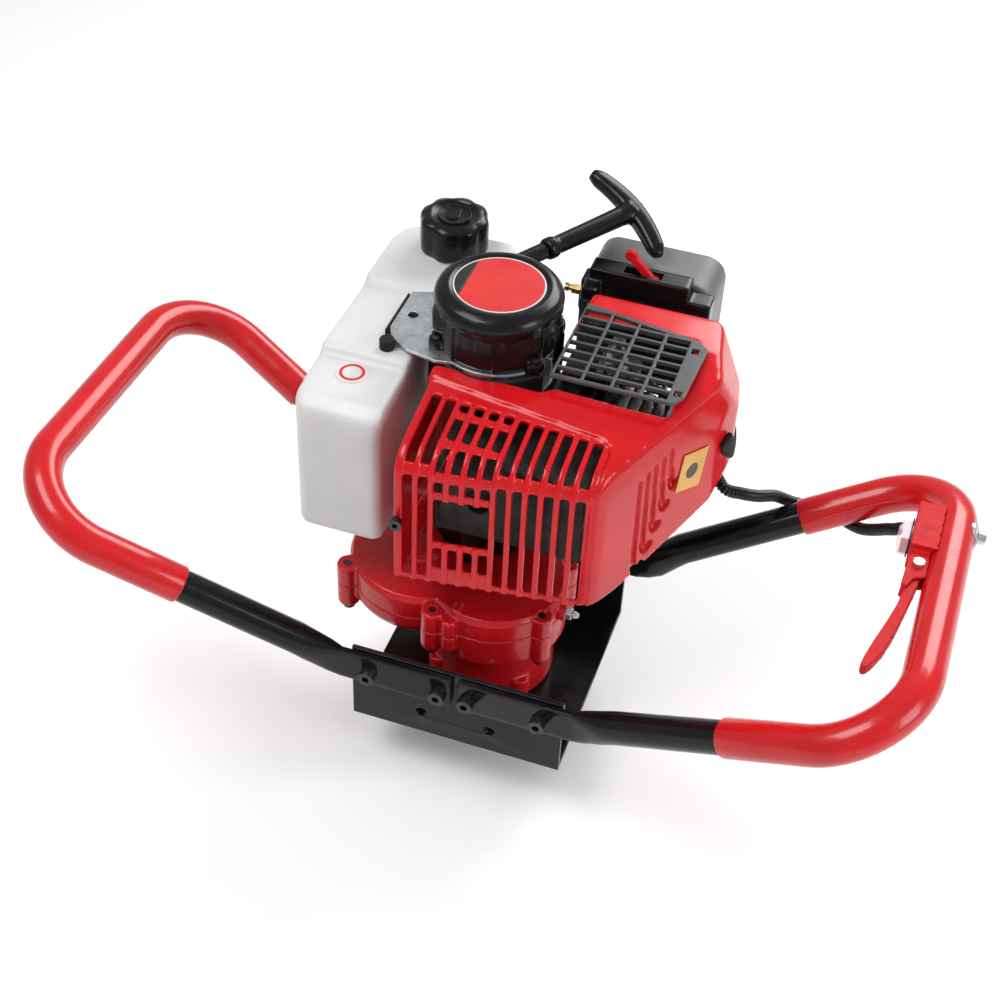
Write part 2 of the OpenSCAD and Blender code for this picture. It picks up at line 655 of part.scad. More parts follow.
module tank_bracket() color(zinc) difference() {
    at(C) union() {
        rod(46, plate_z[0], plate_z[1]);
        translate([0, 0, plate_z[0]]) linear_extrude(plate_z[1] - plate_z[0])
            polygon([[-20, -41], [-35, -43], [-58, -38], [-73, -29], [-79, -17], [-79, 30], [-62, 37],
                [-20, 41]]);
    }
    at(C) rod(38, plate_z[0] - 1, plate_z[1] + 1);
    at(C, plate_z[0] - 1) linear_extrude(5) polygon([[0, 0], [90, -90], [90, 90]]);
    for (a = boss_angles) at(C) rotate(a) translate([boss_r, 0]) rod(2.6, 280, 290);
    translate([C[0] - 68, C[1] + 3, 280]) cylinder(r = 4, h = 12);
}

module tank_cushion() color(black) {
    box([-106.5, 34, tank_top[1]], [-80, 84, plate_z[0]]);
    box([-106.5, 34, tank_top[1]], [-104.9, 84, plate_z[1] + 1]);
    translate([-99.5, 21, tank_top[1]]) cylinder(r = 5.8, h = 9);
}

wall_r = 41.5;
pull_dir = [0.5272, 0.8498];
pull_from = [-14, 133];
rope_z = 320;
module along_pull(t) translate([pull_from[0] + pull_dir[0] * t, pull_from[1] + pull_dir[1] * t, rope_z])
    rotate(atan2(pull_dir[1], pull_dir[0])) rotate([0, 90, 0]) children();

module starter_cover() color(black) difference() {
    union() {
        at(C) rotate_extrude() polygon([[38.5, plate_z[1]], [wall_r, plate_z[1]], [wall_r, 324],
            [starter_r, 327], [starter_r, 332], [starter_r - 3, 335.5], [36, starter_z], [0, starter_z],
            [0, 331], [38.5, 331]]);
        for (a = boss_angles) at(C) rotate(a) translate([boss_r, 0]) rod(6.5, plate_z[1], 296);
        difference() {
            along_pull(-50) cylinder(r = 6.4, h = 48.5);
            at(C) rod(40, 300, 331);
        }
    }
    for (a = boss_angles) at(C) rotate(a) translate([boss_r, 0]) rod(screw_r + 0.2, 280, 297);
    along_pull(-56) cylinder(r = 2.6, h = 56);
}

module starter_label() color(red) at(C) rod(35, starter_z, starter_z + 0.6);

module starter_pulley() color(alloy) at(C) difference() {
    union() {
        rod(33.5, 313.5, 315.5);
        rod(28.9, 315, 325);
        rod(33.5, 324.5, 326.5);
        rod(12, 301, 314);
    }
    rod(7.9, 300, 328);
}

// Spiral of flat spring steel between the pulley's hub and the cover's wall
spring_r = [13, 28];
spring_turns = 5;
function spiral(a, grow) =
    let (r = spring_r[0] + (spring_r[1] - spring_r[0]) * a / (360 * spring_turns) + grow)
    [r * cos(a), r * sin(a)];
module recoil_spring() color(steel) at(C, 303) linear_extrude(9)
    polygon(concat([for (a = [0:15:360 * spring_turns]) spiral(a, 0)],
        [for (a = [360 * spring_turns:-15:0]) spiral(a, 0.6)]));

module starter_rope() color([0.85, 0.85, 0.82]) along_pull(-88) cylinder(r = 1.75, h = 94);

bar_tilt = -68;
bar_at = 88;
module pull_handle() color(black) along_pull(0) difference() {
    union() {
        cylinder(r = 8.5, h = 8);
        translate([0, 0, 7]) cylinder(r = 6.8, h = bar_at - 4);
        translate([0, 0, bar_at]) rotate(bar_tilt) rotate([90, 0, 0]) translate([0, 0, -7])
            linear_extrude(14) polygon([[-44, -6], [-43, 3], [-32, 7.5], [-14, 10], [14, 10], [32, 7.5],
                [43, 3], [44, -6], [34, -8], [22, -5], [10, -4], [-10, -4], [-22, -5], [-34, -8]]);
    }
    translate([0, 0, -1]) cylinder(r = 2.2, h = 20);
}

// ---- fuel tank
tank_top = [276, 283, 289];
neck = [-95, 155];
tank_plan = [[-140, -50], [-84, -50], [-79, -45], [-79, 96], [-68, 112], [-50, 118], [-44, 124],
    [-44, 166], [-54, 178], [-124, 178], [-140, 168], [-146, 150], [-148, 0], [-147, -43]];
tank_plan_in = [[-139, -47.5], [-85, -47.5], [-81.5, -44], [-81.5, 97], [-69.5, 114.2], [-51, 120.4],
    [-46.5, 125], [-46.5, 165], [-55.2, 175.5], [-123.2, 175.5], [-138, 166.4], [-143.5, 149.6],
    [-145.5, 0], [-144.6, -42]];

module tank_solid(plan, t) intersection() {
    translate([0, 0, tank_z + t]) linear_extrude(200) polygon(plan);
    translate([-200, 0, 0]) rotate([90, 0, 90]) linear_extrude(200)
        polygon([[-50 + t, tank_z + 12], [-40 + t, tank_z + t], [170 - t, tank_z + t],
            [178 - t, tank_z + 10], [178 - t, tank_top[2] - t], [96 + t, tank_top[2] - t],
            [90 + t, tank_top[1] - t], [10 + t, tank_top[1] - t], [6 + t, tank_top[0] - t],
            [-38 + t, tank_top[0] - t], [-50 + t, tank_top[0] - 8 - t]]);
}

module fuel_tank() color(milky) difference() {
    union() {
        tank_solid(tank_plan, 0);
        at(neck) rod(22, tank_top[2] - 1, tank_top[2] + 14);
    }
    tank_solid(tank_plan_in, tank_t);
    at(neck) rod(19.5, tank_top[2] - 10, tank_top[2] + 15);
}

module fuel_cap() color(black) at(neck) difference() {
    union() {
        rod(cap_d / 2 - 2, 291, 318);
        rod(cap_d / 2 - 5, 317, 320);
        for (a = [0:45:315]) rotate(a + 10) translate([cap_d / 2 - 5, 0]) rod(5, 292, 317.5);
    }
    rod(22.3, 290, 306);
}

// ---- handles
flat_y = half_w + 3;
flat_z = flange_bolt_z;
front_from = [129, -98, 77];
front_corner = [handle_reach - 1, -160, 205];
rear_corner = [handle_reach + 1, 152, 187.5];
rear_from = [129, 99, 84];
FACETS = 20;
front_bend = corner(front_from, front_corner, rear_corner, bend_r, 9);
rear_bend = corner(front_corner, rear_corner, rear_from, bend_r, 9);
front_flat = [[3, -flat_y, flat_z], [97, -flat_y, flat_z], [108, -flat_y - 0.6, flat_z + 4.5],
    [118, -flat_y - 1.8, flat_z + 10.4], front_from];
rear_flat = [rear_from, [118, flat_y + 2, flat_z + 16], [108, flat_y + 0.8, flat_z + 8],
    [97, flat_y, flat_z], [3, flat_y, flat_z]];
loop_path = concat(front_flat, front_bend, rear_bend, rear_flat);
flat_shape = [15, 3, 0.25];
mid_shape = [14.4, 6.5, 0.6];
near_shape = [13.3, 10.5, 0.85];
full_shape = [tube_d / 2, tube_d / 2, 1];
loop_shape = concat([flat_shape, flat_shape, mid_shape, near_shape],
    [for (i = [0:len(front_bend) + len(rear_bend) + 1]) full_shape],
    [near_shape, mid_shape, flat_shape, flat_shape]);

bore_path = [for (i = [0:len(loop_path) - 1])
    i == 0 || i == len(loop_path) - 1 ? loop_path[i] - [3, 0, 0] : loop_path[i]];
bore_shape = [for (q = loop_shape) [q[0] - 2, q[1] - 2, q[2]]];

module both_sides() for (s = [0, 1]) mirror([s, 0, 0]) children();

module handle_tubes() color(black) difference() {
    both_sides() sweep(loop_path, loop_shape, FACETS);
    both_sides() sweep(bore_path, bore_shape, FACETS);
    for (x = flange_bolt_x) translate([x, -half_w - 10, flange_bolt_z])
        rotate([-90, 0, 0]) cylinder(r = 4.2, h = bracket_w + 20);
    at_control() clamp_hole();
}

grip_from = front_from + 0.41 * (front_corner - front_from);
grip_to = rear_from + 0.43 * (rear_corner - rear_from);
grip_path = concat([grip_from], front_bend, rear_bend, [grip_to]);

module grips() color(red) difference() {
    both_sides() round_tube(grip_path, grip_d, FACETS);
    both_sides() sweep(concat([grip_from - 3 * unit(front_bend[0] - grip_from)], front_bend, rear_bend,
        [grip_to + 3 * unit(grip_to - rear_bend[len(rear_bend) - 1])]),
        [for (i = [0:len(grip_path) - 1]) [tube_d / 2 + run, tube_d / 2 + run, 1]], FACETS);
    at_control() clamp_hole();
}

module handle_bolts() color(black) for (x = flange_bolt_x) for (s = [-1, 1])
    translate([x, s * (half_w + 6), flange_bolt_z]) rotate([90 * s, 0, 0])
        cap_screw(6.5, 9, 4, 19, 3.2);

module handle_nuts() color(steel) for (x = flange_bolt_x) for (s = [-1, 1])
    translate([x, s * (half_w - bracket_t), flange_bolt_z]) rotate([90 * s, 0, 0]) difference() {
        cylinder(r = 7.5, h = 6.5, $fn = 6);
        translate([0, 0, -1]) cylinder(r = 4, h = 9);
    }

// ---- controls on the right grip, in a frame on the grip's axis whose -X points inwards
switch_y = 63;
grip_at = [handle_reach + 0.4, switch_y, 192.5];
grip_slope = 3.2;
module at_control() translate(grip_at) rotate([-grip_slope, 0, 0]) children();
grip_r = grip_d / 2;
pivot = [-21, -41];
clamp_y = 14;

module clamp_hole() translate([-34, clamp_y, 0]) rotate([0, 90, 0]) cylinder(r = 2.6, h = 64);

module switch_housing() color(red) at_control() difference() {
    union() {
        box([-30, -26, -12], [0, 26, 12]);
        box([-31.5, 8, -17], [-18, 26, -9]);
        translate([0, 0, -6.5]) linear_extrude(13) polygon([[-14, -25], [-29, -25], [-29, -38],
            [-30, -66], [-26, -68], [-22, -57], [-13, -53]]);
    }
    rotate([90, 0, 0]) translate([0, 0, -50]) cylinder(r = grip_r + 0.6, h = 130);
    box([-36, -20, -8], [-24, 7, 9]);
    clamp_hole();
    box([-32, -72, -4.3], [-8, -31, 4.3]);
    translate([pivot[0], pivot[1], -20]) cylinder(r = 2.05, h = 40);
    translate([-40, 18, -11.5]) rotate([0, 90, 0]) cylinder(r = 5.1, h = 18);
}

module kill_switch() color([0.85, 0.55, 0.55]) at_control() translate([-29, -6.5, 0.5]) {
    cylinder(r = 3.5, h = 15, center = true);
    box([-8, -11, -6.5], [-1, 11, 7]);
}

module throttle_lever() color(red) at_control() translate([pivot[0], pivot[1], 0]) difference() {
    union() {
        cylinder(r = 4.5, h = 8, center = true);
        translate([0, 0, -4]) linear_extrude(8) polygon([[-4.5, 0.5], [4.5, 0], [3.5, -14], [1.5, -30],
            [-0.8, -46.6], [-4.8, -75], [-9.4, -96], [-15, -111], [-18, -116], [-21, -117],
            [-22.5, -114], [-21.5, -106], [-18, -89], [-12.5, -66], [-8, -44], [-5.5, -20]]);
    }
    cylinder(r = 2.05, h = 10, center = true);
}

module lever_screw() color(zinc) at_control() translate([pivot[0], pivot[1], 0]) difference() {
    union() {
        translate([0, 0, -7.5]) cylinder(r = 2, h = 15);
        translate([0, 0, 6.6]) cylinder(r = 4.2, h = 3);
        translate([0, 0, -9.6]) cylinder(r = 4, h = 3, $fn = 6);
    }
    box([-5, -0.6, 8.4], [5, 0.6, 10]);
}

module clamp_washer() color(zinc) at_control() translate([0, clamp_y, 0]) {
    intersection() {
        rotate([90, 0, 0]) translate([0, 0, -20]) difference() {
            cylinder(r = grip_r + 1.8, h = 40);
            translate([0, 0, -1]) cylinder(r = grip_r + 0.1, h = 42);
        }
        rotate([0, 90, 0]) cylinder(r = 11, h = 30);
    }
    translate([-28, 0, 0]) rotate([0, 90, 0]) cylinder(r = 2.5, h = grip_r + 29);
    translate([grip_r + 1.6, 0, 0]) rotate([0, 90, 0]) cylinder(r = 5, h = 6);
}

conduit_d = 10;
conduit_path = [[70, 134, 203], [92, 135, 196], [114, 126, 190], [132, 108, 184], [145, 92, 180],
    [157, 81, 175], [170, 88, 168], [181, 101, 158], [192, 124, 142], [204, 140, 126],
    [216, 148, 119], [229, 150, 117], [242, 147, 119], [253, 136, 122], [264, 122, 132],
    [274, 109, 146], [282, 97, 160], [288, 88, 170], [293, 83.6, 176.6], [296.8, 81.9, 179]];
module cable_conduit() color(black) round_tube(conduit_path, conduit_d, 12);

mounting_bracket();
bracket_bolts();
gearbox_case();
gearbox_cover();
gearbox_bolts();
grease_nipple();
output_shaft();
output_gear();
output_bearings();
oil_seal();
intermediate_shaft();
intermediate_gear();
shaft_bearings();
clutch_drum();
clutch_housing();
housing_bolts();
clutch_shoes();
clutch_spring();
crankcase();
crankshaft();
main_bearings();
flywheel_fan();
cylinder_node();  // cylinder
piston();
spark_plug();
plug_boot();
ignition_lead();
ignition_coil();
muffler();
insulator();
carburettor();
fuel_fitting();
filter_base();
filter_element();
filter_cover();
choke_lever();
engine_shroud();
shroud_grid();
cover_screws();
fan_housing();
tank_bracket();
tank_cushion();
starter_cover();
starter_label();
starter_pulley();
recoil_spring();
starter_rope();
pull_handle();
fuel_tank();
fuel_cap();
handle_tubes();
grips();
handle_bolts();
handle_nuts();
switch_housing();
kill_switch();
throttle_lever();
lever_screw();
clamp_washer();
cable_conduit();
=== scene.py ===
import bpy
import bmesh
import math
from mathutils import Matrix, Vector


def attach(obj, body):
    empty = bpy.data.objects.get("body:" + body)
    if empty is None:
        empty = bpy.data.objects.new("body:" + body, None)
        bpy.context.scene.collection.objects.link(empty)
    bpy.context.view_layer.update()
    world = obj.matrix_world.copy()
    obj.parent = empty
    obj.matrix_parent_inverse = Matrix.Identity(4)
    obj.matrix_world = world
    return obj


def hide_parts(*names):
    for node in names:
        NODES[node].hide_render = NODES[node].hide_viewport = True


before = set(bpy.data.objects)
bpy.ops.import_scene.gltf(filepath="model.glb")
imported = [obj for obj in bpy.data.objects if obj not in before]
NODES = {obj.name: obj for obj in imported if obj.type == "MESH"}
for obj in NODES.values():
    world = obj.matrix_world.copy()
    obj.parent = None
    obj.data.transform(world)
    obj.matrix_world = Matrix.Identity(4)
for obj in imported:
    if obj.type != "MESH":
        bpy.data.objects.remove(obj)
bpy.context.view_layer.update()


# ---------------------------------------------------------------- camera, floor and light
def make_camera():
    """The view from the right of the front, well above, with a slight roll."""
    az, el, roll = math.radians(17.81), math.radians(42.41), math.radians(2.20)
    back = Vector((math.sin(az) * math.cos(el), -math.cos(az) * math.cos(el), math.sin(el)))
    right = (-back).cross(Vector((0, 0, 1))).normalized()
    up = right.cross(-back)
    side = math.cos(roll) * right + math.sin(roll) * up
    top = -math.sin(roll) * right + math.cos(roll) * up
    data = bpy.data.cameras.new("camera")
    data.sensor_width = 36.0
    data.lens = 63.47
    data.shift_x, data.shift_y = 0.0255, -0.0079
    data.clip_start, data.clip_end = 0.05, 20.0
    cam = bpy.data.objects.new("camera", data)
    bpy.context.scene.collection.objects.link(cam)
    cam.matrix_world = Matrix((
        (side.x, top.x, back.x, 0.2828),
        (side.y, top.y, back.y, -0.9436),
        (side.z, top.z, back.z, 1.0874),
        (0, 0, 0, 1)))
    bpy.context.scene.camera = cam


def area_light(name, loc, aim, size, power):
    """A soft rectangular light at loc that faces aim."""
    data = bpy.data.lights.new(name, "AREA")
    data.shape = "RECTANGLE"
    data.size, data.size_y = size
    data.energy = power
    obj = bpy.data.objects.new(name, data)
    bpy.context.scene.collection.objects.link(obj)
    obj.location = loc
    obj.rotation_euler = (Vector(aim) - Vector(loc)).to_track_quat("-Z", "Y").to_euler()


def make_stage():
    """White world, pale floor just under the shaft's end, and three soft lights."""
    scene = bpy.context.scene
    scene.view_settings.view_transform = "Standard"
    world = bpy.data.worlds.new("studio")
    world.use_nodes = True
    world.node_tree.nodes["Background"].inputs[0].default_value = (1, 1, 1, 1)
    world.node_tree.nodes["Background"].inputs[1].default_value = 0.42
    scene.world = world
    bpy.ops.mesh.primitive_plane_add(size=12, location=(0, 0, -0.0502))
    floor = bpy.context.object
    floor.name = "floor"
    mat = bpy.data.materials.new("floor")
    mat.use_nodes = True
    bsdf = mat.node_tree.nodes["Principled BSDF"]
    bsdf.inputs["Base Color"].default_value = (0.93, 0.93, 0.93, 1)
    bsdf.inputs["Roughness"].default_value = 0.6
    bsdf.inputs["Emission Color"].default_value = (1, 1, 1, 1)
    bsdf.inputs["Emission Strength"].default_value = 0.06
    floor.data.materials.append(mat)
    area_light("key", (-0.7, -0.5, 1.7), (0, 0, 0.15), (1.1, 0.8), 20)
    area_light("rear", (0.5, 1.5, 1.3), (0, 0, 0.2), (1.3, 0.8), 24)
    area_light("right", (1.6, -0.5, 0.8), (0, 0, 0.15), (0.7, 1.0), 12)


make_camera()
make_stage()


# ---------------------------------------------------------------- materials
def material(name, dark, light, rough=(0.3, 0.4), metallic=0.0, coat=0.0, grain=60.0, bump=0.0,
             bump_scale=900.0, edge_wear_and_highlight=None, alpha=1.0, specular=0.5, subsurface=0.0):
    """A noise-varied surface: dark to light colour, a roughness range, fine bump and an optional lighter edge
    colour, which is wear on the casting and the enamel and a painted highlight on the grid.
    """
    mat = bpy.data.materials.new(name)
    mat.use_nodes = True
    tree = mat.node_tree
    n, link = tree.nodes, tree.links
    bsdf = n["Principled BSDF"]
    coords = n.new("ShaderNodeTexCoord")
    broad = n.new("ShaderNodeTexNoise")
    broad.inputs["Scale"].default_value = grain
    broad.inputs["Detail"].default_value = 5
    link.new(coords.outputs["Object"], broad.inputs["Vector"])
    ramp = n.new("ShaderNodeValToRGB")
    ramp.color_ramp.elements[0].color = (*dark, 1)
    ramp.color_ramp.elements[0].position = 0.3
    ramp.color_ramp.elements[1].color = (*light, 1)
    ramp.color_ramp.elements[1].position = 0.7
    link.new(broad.outputs["Fac"], ramp.inputs["Fac"])
    fine = n.new("ShaderNodeTexNoise")
    fine.inputs["Scale"].default_value = bump_scale
    fine.inputs["Detail"].default_value = 3
    link.new(coords.outputs["Object"], fine.inputs["Vector"])
    spread = n.new("ShaderNodeMapRange")
    spread.inputs["From Min"].default_value = 0.3
    spread.inputs["From Max"].default_value = 0.7
    spread.inputs["To Min"].default_value = rough[0]
    spread.inputs["To Max"].default_value = rough[1]
    middle = n.new("ShaderNodeTexNoise")
    middle.inputs["Scale"].default_value = grain * 3.3
    middle.inputs["Detail"].default_value = 6
    link.new(coords.outputs["Object"], middle.inputs["Vector"])
    link.new(middle.outputs["Fac"], spread.inputs["Value"])
    link.new(spread.outputs[0], bsdf.inputs["Roughness"])
    colour_out = ramp.outputs["Color"]
    # optional lighter colour on convex edges by pointiness: wear on most materials, a painted highlight on
    # the grid's bar edges
    if edge_wear_and_highlight:
        geo = n.new("ShaderNodeNewGeometry")
        edge = n.new("ShaderNodeMapRange")
        edge.inputs["From Min"].default_value = 0.53
        edge.inputs["From Max"].default_value = 0.60
        mult = n.new("ShaderNodeMath")
        mult.operation = "MULTIPLY"
        link.new(geo.outputs["Pointiness"], edge.inputs["Value"])
        link.new(edge.outputs[0], mult.inputs[0])
        link.new(middle.outputs["Fac"], mult.inputs[1])
        mix = n.new("ShaderNodeMix")
        mix.data_type = "RGBA"
        link.new(mult.outputs[0], mix.inputs["Factor"])
        link.new(colour_out, mix.inputs[6])
        mix.inputs[7].default_value = (*edge_wear_and_highlight, 1)
        colour_out = mix.outputs[2]
    link.new(colour_out, bsdf.inputs["Base Color"])
    if bump:
        bumper = n.new("ShaderNodeBump")
        bumper.inputs["Strength"].default_value = 1.0
        bumper.inputs["Distance"].default_value = bump
        link.new(fine.outputs["Fac"], bumper.inputs["Height"])
        link.new(bumper.outputs[0], bsdf.inputs["Normal"])
    bsdf.inputs["Metallic"].default_value = metallic
    bsdf.inputs["Coat Weight"].default_value = coat
    bsdf.inputs["Coat Roughness"].default_value = 0.06
    bsdf.inputs["Specular IOR Level"].default_value = specular
    bsdf.inputs["Alpha"].default_value = alpha
    bsdf.inputs["Subsurface Weight"].default_value = subsurface
    bsdf.inputs["Subsurface Scale"].default_value = 0.004
    return mat


RED_GLOSS = material("red_moulding", (0.52, 0.005, 0.009), (0.62, 0.008, 0.012), (0.14, 0.24), coat=0.18,
                     grain=22, bump=0.00003, bump_scale=500, specular=0.26)
RED_SATIN = material("red_satin", (0.48, 0.006, 0.009), (0.58, 0.010, 0.013), (0.50, 0.64), grain=60,
                     bump=0.00004, bump_scale=900, specular=0.2)
RED_CAST = material("red_enamel_casting", (0.46, 0.005, 0.009), (0.56, 0.008, 0.012), (0.22, 0.34), coat=0.25,
                    grain=28, bump=0.00005, bump_scale=420, edge_wear_and_highlight=(0.62, 0.06, 0.05), specular=0.35)
RED_GRIP = material("red_grip", (0.50, 0.005, 0.009), (0.60, 0.008, 0.012), (0.20, 0.30), coat=0.25,
                    grain=30, bump=0.00004, bump_scale=700, specular=0.35)
BLACK_ENAMEL = material("black_enamel", (0.004, 0.004, 0.005), (0.008, 0.008, 0.009), (0.14, 0.26), coat=0.12,
                        grain=35, bump=0.00003, bump_scale=380, edge_wear_and_highlight=(0.06, 0.06, 0.065), specular=0.22)
BLACK_GLOSS = material("black_moulding", (0.003, 0.003, 0.004), (0.006, 0.006, 0.007), (0.18, 0.28),
                       grain=40, bump=0.00003, bump_scale=900, specular=0.3)
BLACK_MATT = material("black_matt_moulding", (0.006, 0.006, 0.007), (0.012, 0.012, 0.013), (0.42, 0.58),
                      grain=60, bump=0.00006, bump_scale=1400, specular=0.25)
GREY_PLASTIC = material("grey_moulding", (0.128, 0.128, 0.132), (0.146, 0.146, 0.150), (0.36, 0.46),
                        grain=50, bump=0.00005, bump_scale=1600, specular=0.3)
# the grid's lighter edge colour is a painted highlight on its bars' edges, not wear
GRID_GREY = material("grid_moulding", (0.030, 0.036, 0.036), (0.050, 0.058, 0.058), (0.30, 0.42), grain=50,
                     bump=0.00004, bump_scale=1600, edge_wear_and_highlight=(0.16, 0.18, 0.18), specular=0.4)
RUBBER = material("black_rubber", (0.006, 0.006, 0.006), (0.012, 0.012, 0.012), (0.55, 0.72), grain=70,
                  bump=0.00008, bump_scale=1100, specular=0.25)
STEEL = material("bright_steel", (0.42, 0.43, 0.44), (0.60, 0.61, 0.62), (0.22, 0.38), metallic=1.0,
                 grain=180, bump=0.00002, bump_scale=2600)
DARK_STEEL = material("oiled_steel", (0.05, 0.05, 0.052), (0.09, 0.09, 0.092), (0.28, 0.42), metallic=0.9,
                      grain=160, bump=0.00003, bump_scale=2200)
ZINC = material("zinc_plate", (0.50, 0.53, 0.56), (0.70, 0.73, 0.75), (0.24, 0.40), metallic=0.9, grain=120,
                bump=0.00003, bump_scale=900)
ALLOY = material("cast_alloy", (0.42, 0.42, 0.43), (0.58, 0.58, 0.59), (0.34, 0.52), metallic=0.85, grain=90,
                 bump=0.00012, bump_scale=700)
# near-black alloy for the cylinder: painted shade for the dark space under the shroud's grid
SHADE_DARK_ALLOY = material("alloy_painted_shade", (0.012, 0.012, 0.012), (0.028, 0.028, 0.029), (0.40, 0.55),
                      metallic=0.3, grain=90, bump=0.0001, bump_scale=700, specular=0.3)
BRASS = material("brass", (0.55, 0.36, 0.12), (0.78, 0.56, 0.24), (0.20, 0.34), metallic=1.0, grain=200,
                 bump=0.00002, bump_scale=2400)
MILKY = material("milky_tank", (0.60, 0.60, 0.60), (0.68, 0.68, 0.68), (0.34, 0.46), grain=18, bump=0.00005,
                 bump_scale=500, subsurface=0.35)
ROPE = material("cord", (0.60, 0.58, 0.52), (0.80, 0.78, 0.72), (0.7, 0.85), grain=400, bump=0.0002,
                bump_scale=1800)
FOAM = material("filter_foam", (0.07, 0.07, 0.065), (0.14, 0.14, 0.13), (0.85, 0.95), grain=500, bump=0.0006,
                bump_scale=1500)
EXHAUST = material("exhaust_black", (0.018, 0.017, 0.017), (0.05, 0.045, 0.04), (0.5, 0.7), metallic=0.5,
                   grain=40, bump=0.0001, bump_scale=600)

LABEL_RED = material("label_red", (0.55, 0.016, 0.016), (0.66, 0.026, 0.022), (0.22, 0.32), coat=0.4,
                     grain=30, bump=0.00002, bump_scale=900)
LABEL_DARK = material("label_dark", (0.012, 0.012, 0.012), (0.022, 0.022, 0.022), (0.22, 0.34), grain=30,
                      bump=0.00002, bump_scale=900)
LABEL_PALE = material("label_pale", (0.60, 0.58, 0.56), (0.74, 0.72, 0.70), (0.3, 0.4), grain=60)
LABEL_AMBER = material("label_amber", (0.62, 0.33, 0.05), (0.74, 0.42, 0.08), (0.3, 0.4), grain=60)
CLEAR = material("clear_boot", (0.86, 0.80, 0.80), (0.94, 0.90, 0.90), (0.06, 0.12), grain=60, alpha=0.38,
                 specular=0.8)
PINK = material("pink_rocker", (0.55, 0.10, 0.14), (0.68, 0.17, 0.20), (0.3, 0.4), grain=60)

# ---------------------------------------------------------------- shape tools, all in millimetres
MM = 0.001
UP = Vector((0, 0, 1))


def arc(cx, cy, r, a0, a1, steps):
    """Points on an arc, angles in degrees."""
    angles = [math.radians(a0 + (a1 - a0) * i / steps) for i in range(steps + 1)]
    return [(cx + r * math.cos(a), cy + r * math.sin(a)) for a in angles]


def prism(bm, points, z0, z1, place=None):
    """Adds a closed prism with an anticlockwise outline."""
    low = [bm.verts.new((x, y, z0)) for x, y in points]
    high = [bm.verts.new((x, y, z1)) for x, y in points]
    bm.faces.new(list(reversed(low)))
    bm.faces.new(high)
    count = len(points)
    for i in range(count):
        j = (i + 1) % count
        bm.faces.new((low[i], low[j], high[j], high[i]))
    if place:
        bmesh.ops.transform(bm, matrix=place, verts=low + high)


def block(bm, lo, hi, place=None):
    """Adds a box between two corners."""
    prism(bm, [(lo[0], lo[1]), (hi[0], lo[1]), (hi[0], hi[1]), (lo[0], hi[1])], lo[2], hi[2], place)


def lathe(bm, profile, place=None, steps=96, wave=None):
    """Adds a solid of revolution about Z from (radius, height) points that run up the outside."""
    rings = []
    for r, z in profile:
        ring = []
        for i in range(steps):
            a = math.tau * i / steps
            k = r + (wave(a, r, z) if wave else 0.0)
            ring.append(bm.verts.new((k * math.cos(a), k * math.sin(a), z)))
        rings.append(ring)
    for lower, upper in zip(rings, rings[1:]):
        for i in range(steps):
            j = (i + 1) % steps
            bm.faces.new((lower[i], lower[j], upper[j], upper[i]))
    bm.faces.new(list(reversed(rings[0])))
    bm.faces.new(rings[-1])
    if place:
        bmesh.ops.transform(bm, matrix=place, verts=[v for ring in rings for v in ring])


def rod(bm, r, z0, z1, place=None, steps=48):
    """Adds an upright cylinder."""
    lathe(bm, [(r, z0), (r, z1)], place, steps)


def sweep(bm, path, sections, sides=40):
    """Adds a tube along path; each section is (half height, half width, squareness)."""
    path = [Vector(p) for p in path]
    rings = []
    last = len(path) - 1
    for i, (centre, (high, wide, power)) in enumerate(zip(path, sections)):
        ahead = (path[min(i + 1, last)] - path[max(i - 1, 0)]).normalized()
        side = ahead.cross(UP)
        side = side.normalized() if side.length > 1e-4 else Vector((1, 0, 0))
        top = side.cross(ahead)
        ring = []
        for k in range(sides):
            a = math.tau * k / sides
            c, s = math.cos(a), math.sin(a)
            x = wide * math.copysign(abs(c) ** power, c)
            y = high * math.copysign(abs(s) ** power, s)
            ring.append(bm.verts.new(centre + side * x + top * y))
        rings.append(ring)
    for a, b in zip(rings, rings[1:]):
        for k in range(sides):
            j = (k + 1) % sides
            bm.faces.new((a[k], a[j], b[j], b[k]))
    bm.faces.new(list(reversed(rings[0])))
    bm.faces.new(rings[-1])


def smooth_path(points, per_span):
    """A Catmull-Rom curve through the points."""
    p = [Vector(q) for q in points]
    p = [2 * p[0] - p[1]] + p + [2 * p[-1] - p[-2]]
    out = []
    for i in range(1, len(p) - 2):
        for k in range(per_span):
            t = k / per_span
            out.append(0.5 * (2 * p[i] + (p[i + 1] - p[i - 1]) * t
                              + (2 * p[i - 1] - 5 * p[i] + 4 * p[i + 1] - p[i + 2]) * t * t
                              + (3 * p[i] - p[i - 1] - 3 * p[i + 1] + p[i + 2]) * t ** 3))
    out.append(p[-2])
    return out


def to_object(name, bm, mat):
    """Turns the millimetre mesh into an object in metres with outward faces."""
    bmesh.ops.scale(bm, vec=(MM, MM, MM), verts=bm.verts)
    bmesh.ops.recalc_face_normals(bm, faces=bm.faces)
    data = bpy.data.meshes.new(name)
    bm.to_mesh(data)
    bm.free()
    data.materials.append(mat)
    obj = bpy.data.objects.new(name, data)
    bpy.context.scene.collection.objects.link(obj)
    return obj


def hand_over(obj, body, nodes=()):
    """Says which body obj moves with and the CAD nodes that it stands for."""
    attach(obj, body)
    if nodes:
        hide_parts(*nodes)
    return obj


def shade(obj, angle=35):
    """Smooth shading with edges sharper than the angle kept crisp."""
    for poly in obj.data.polygons:
        poly.use_smooth = True
    obj.data.set_sharp_from_angle(angle=math.radians(angle))


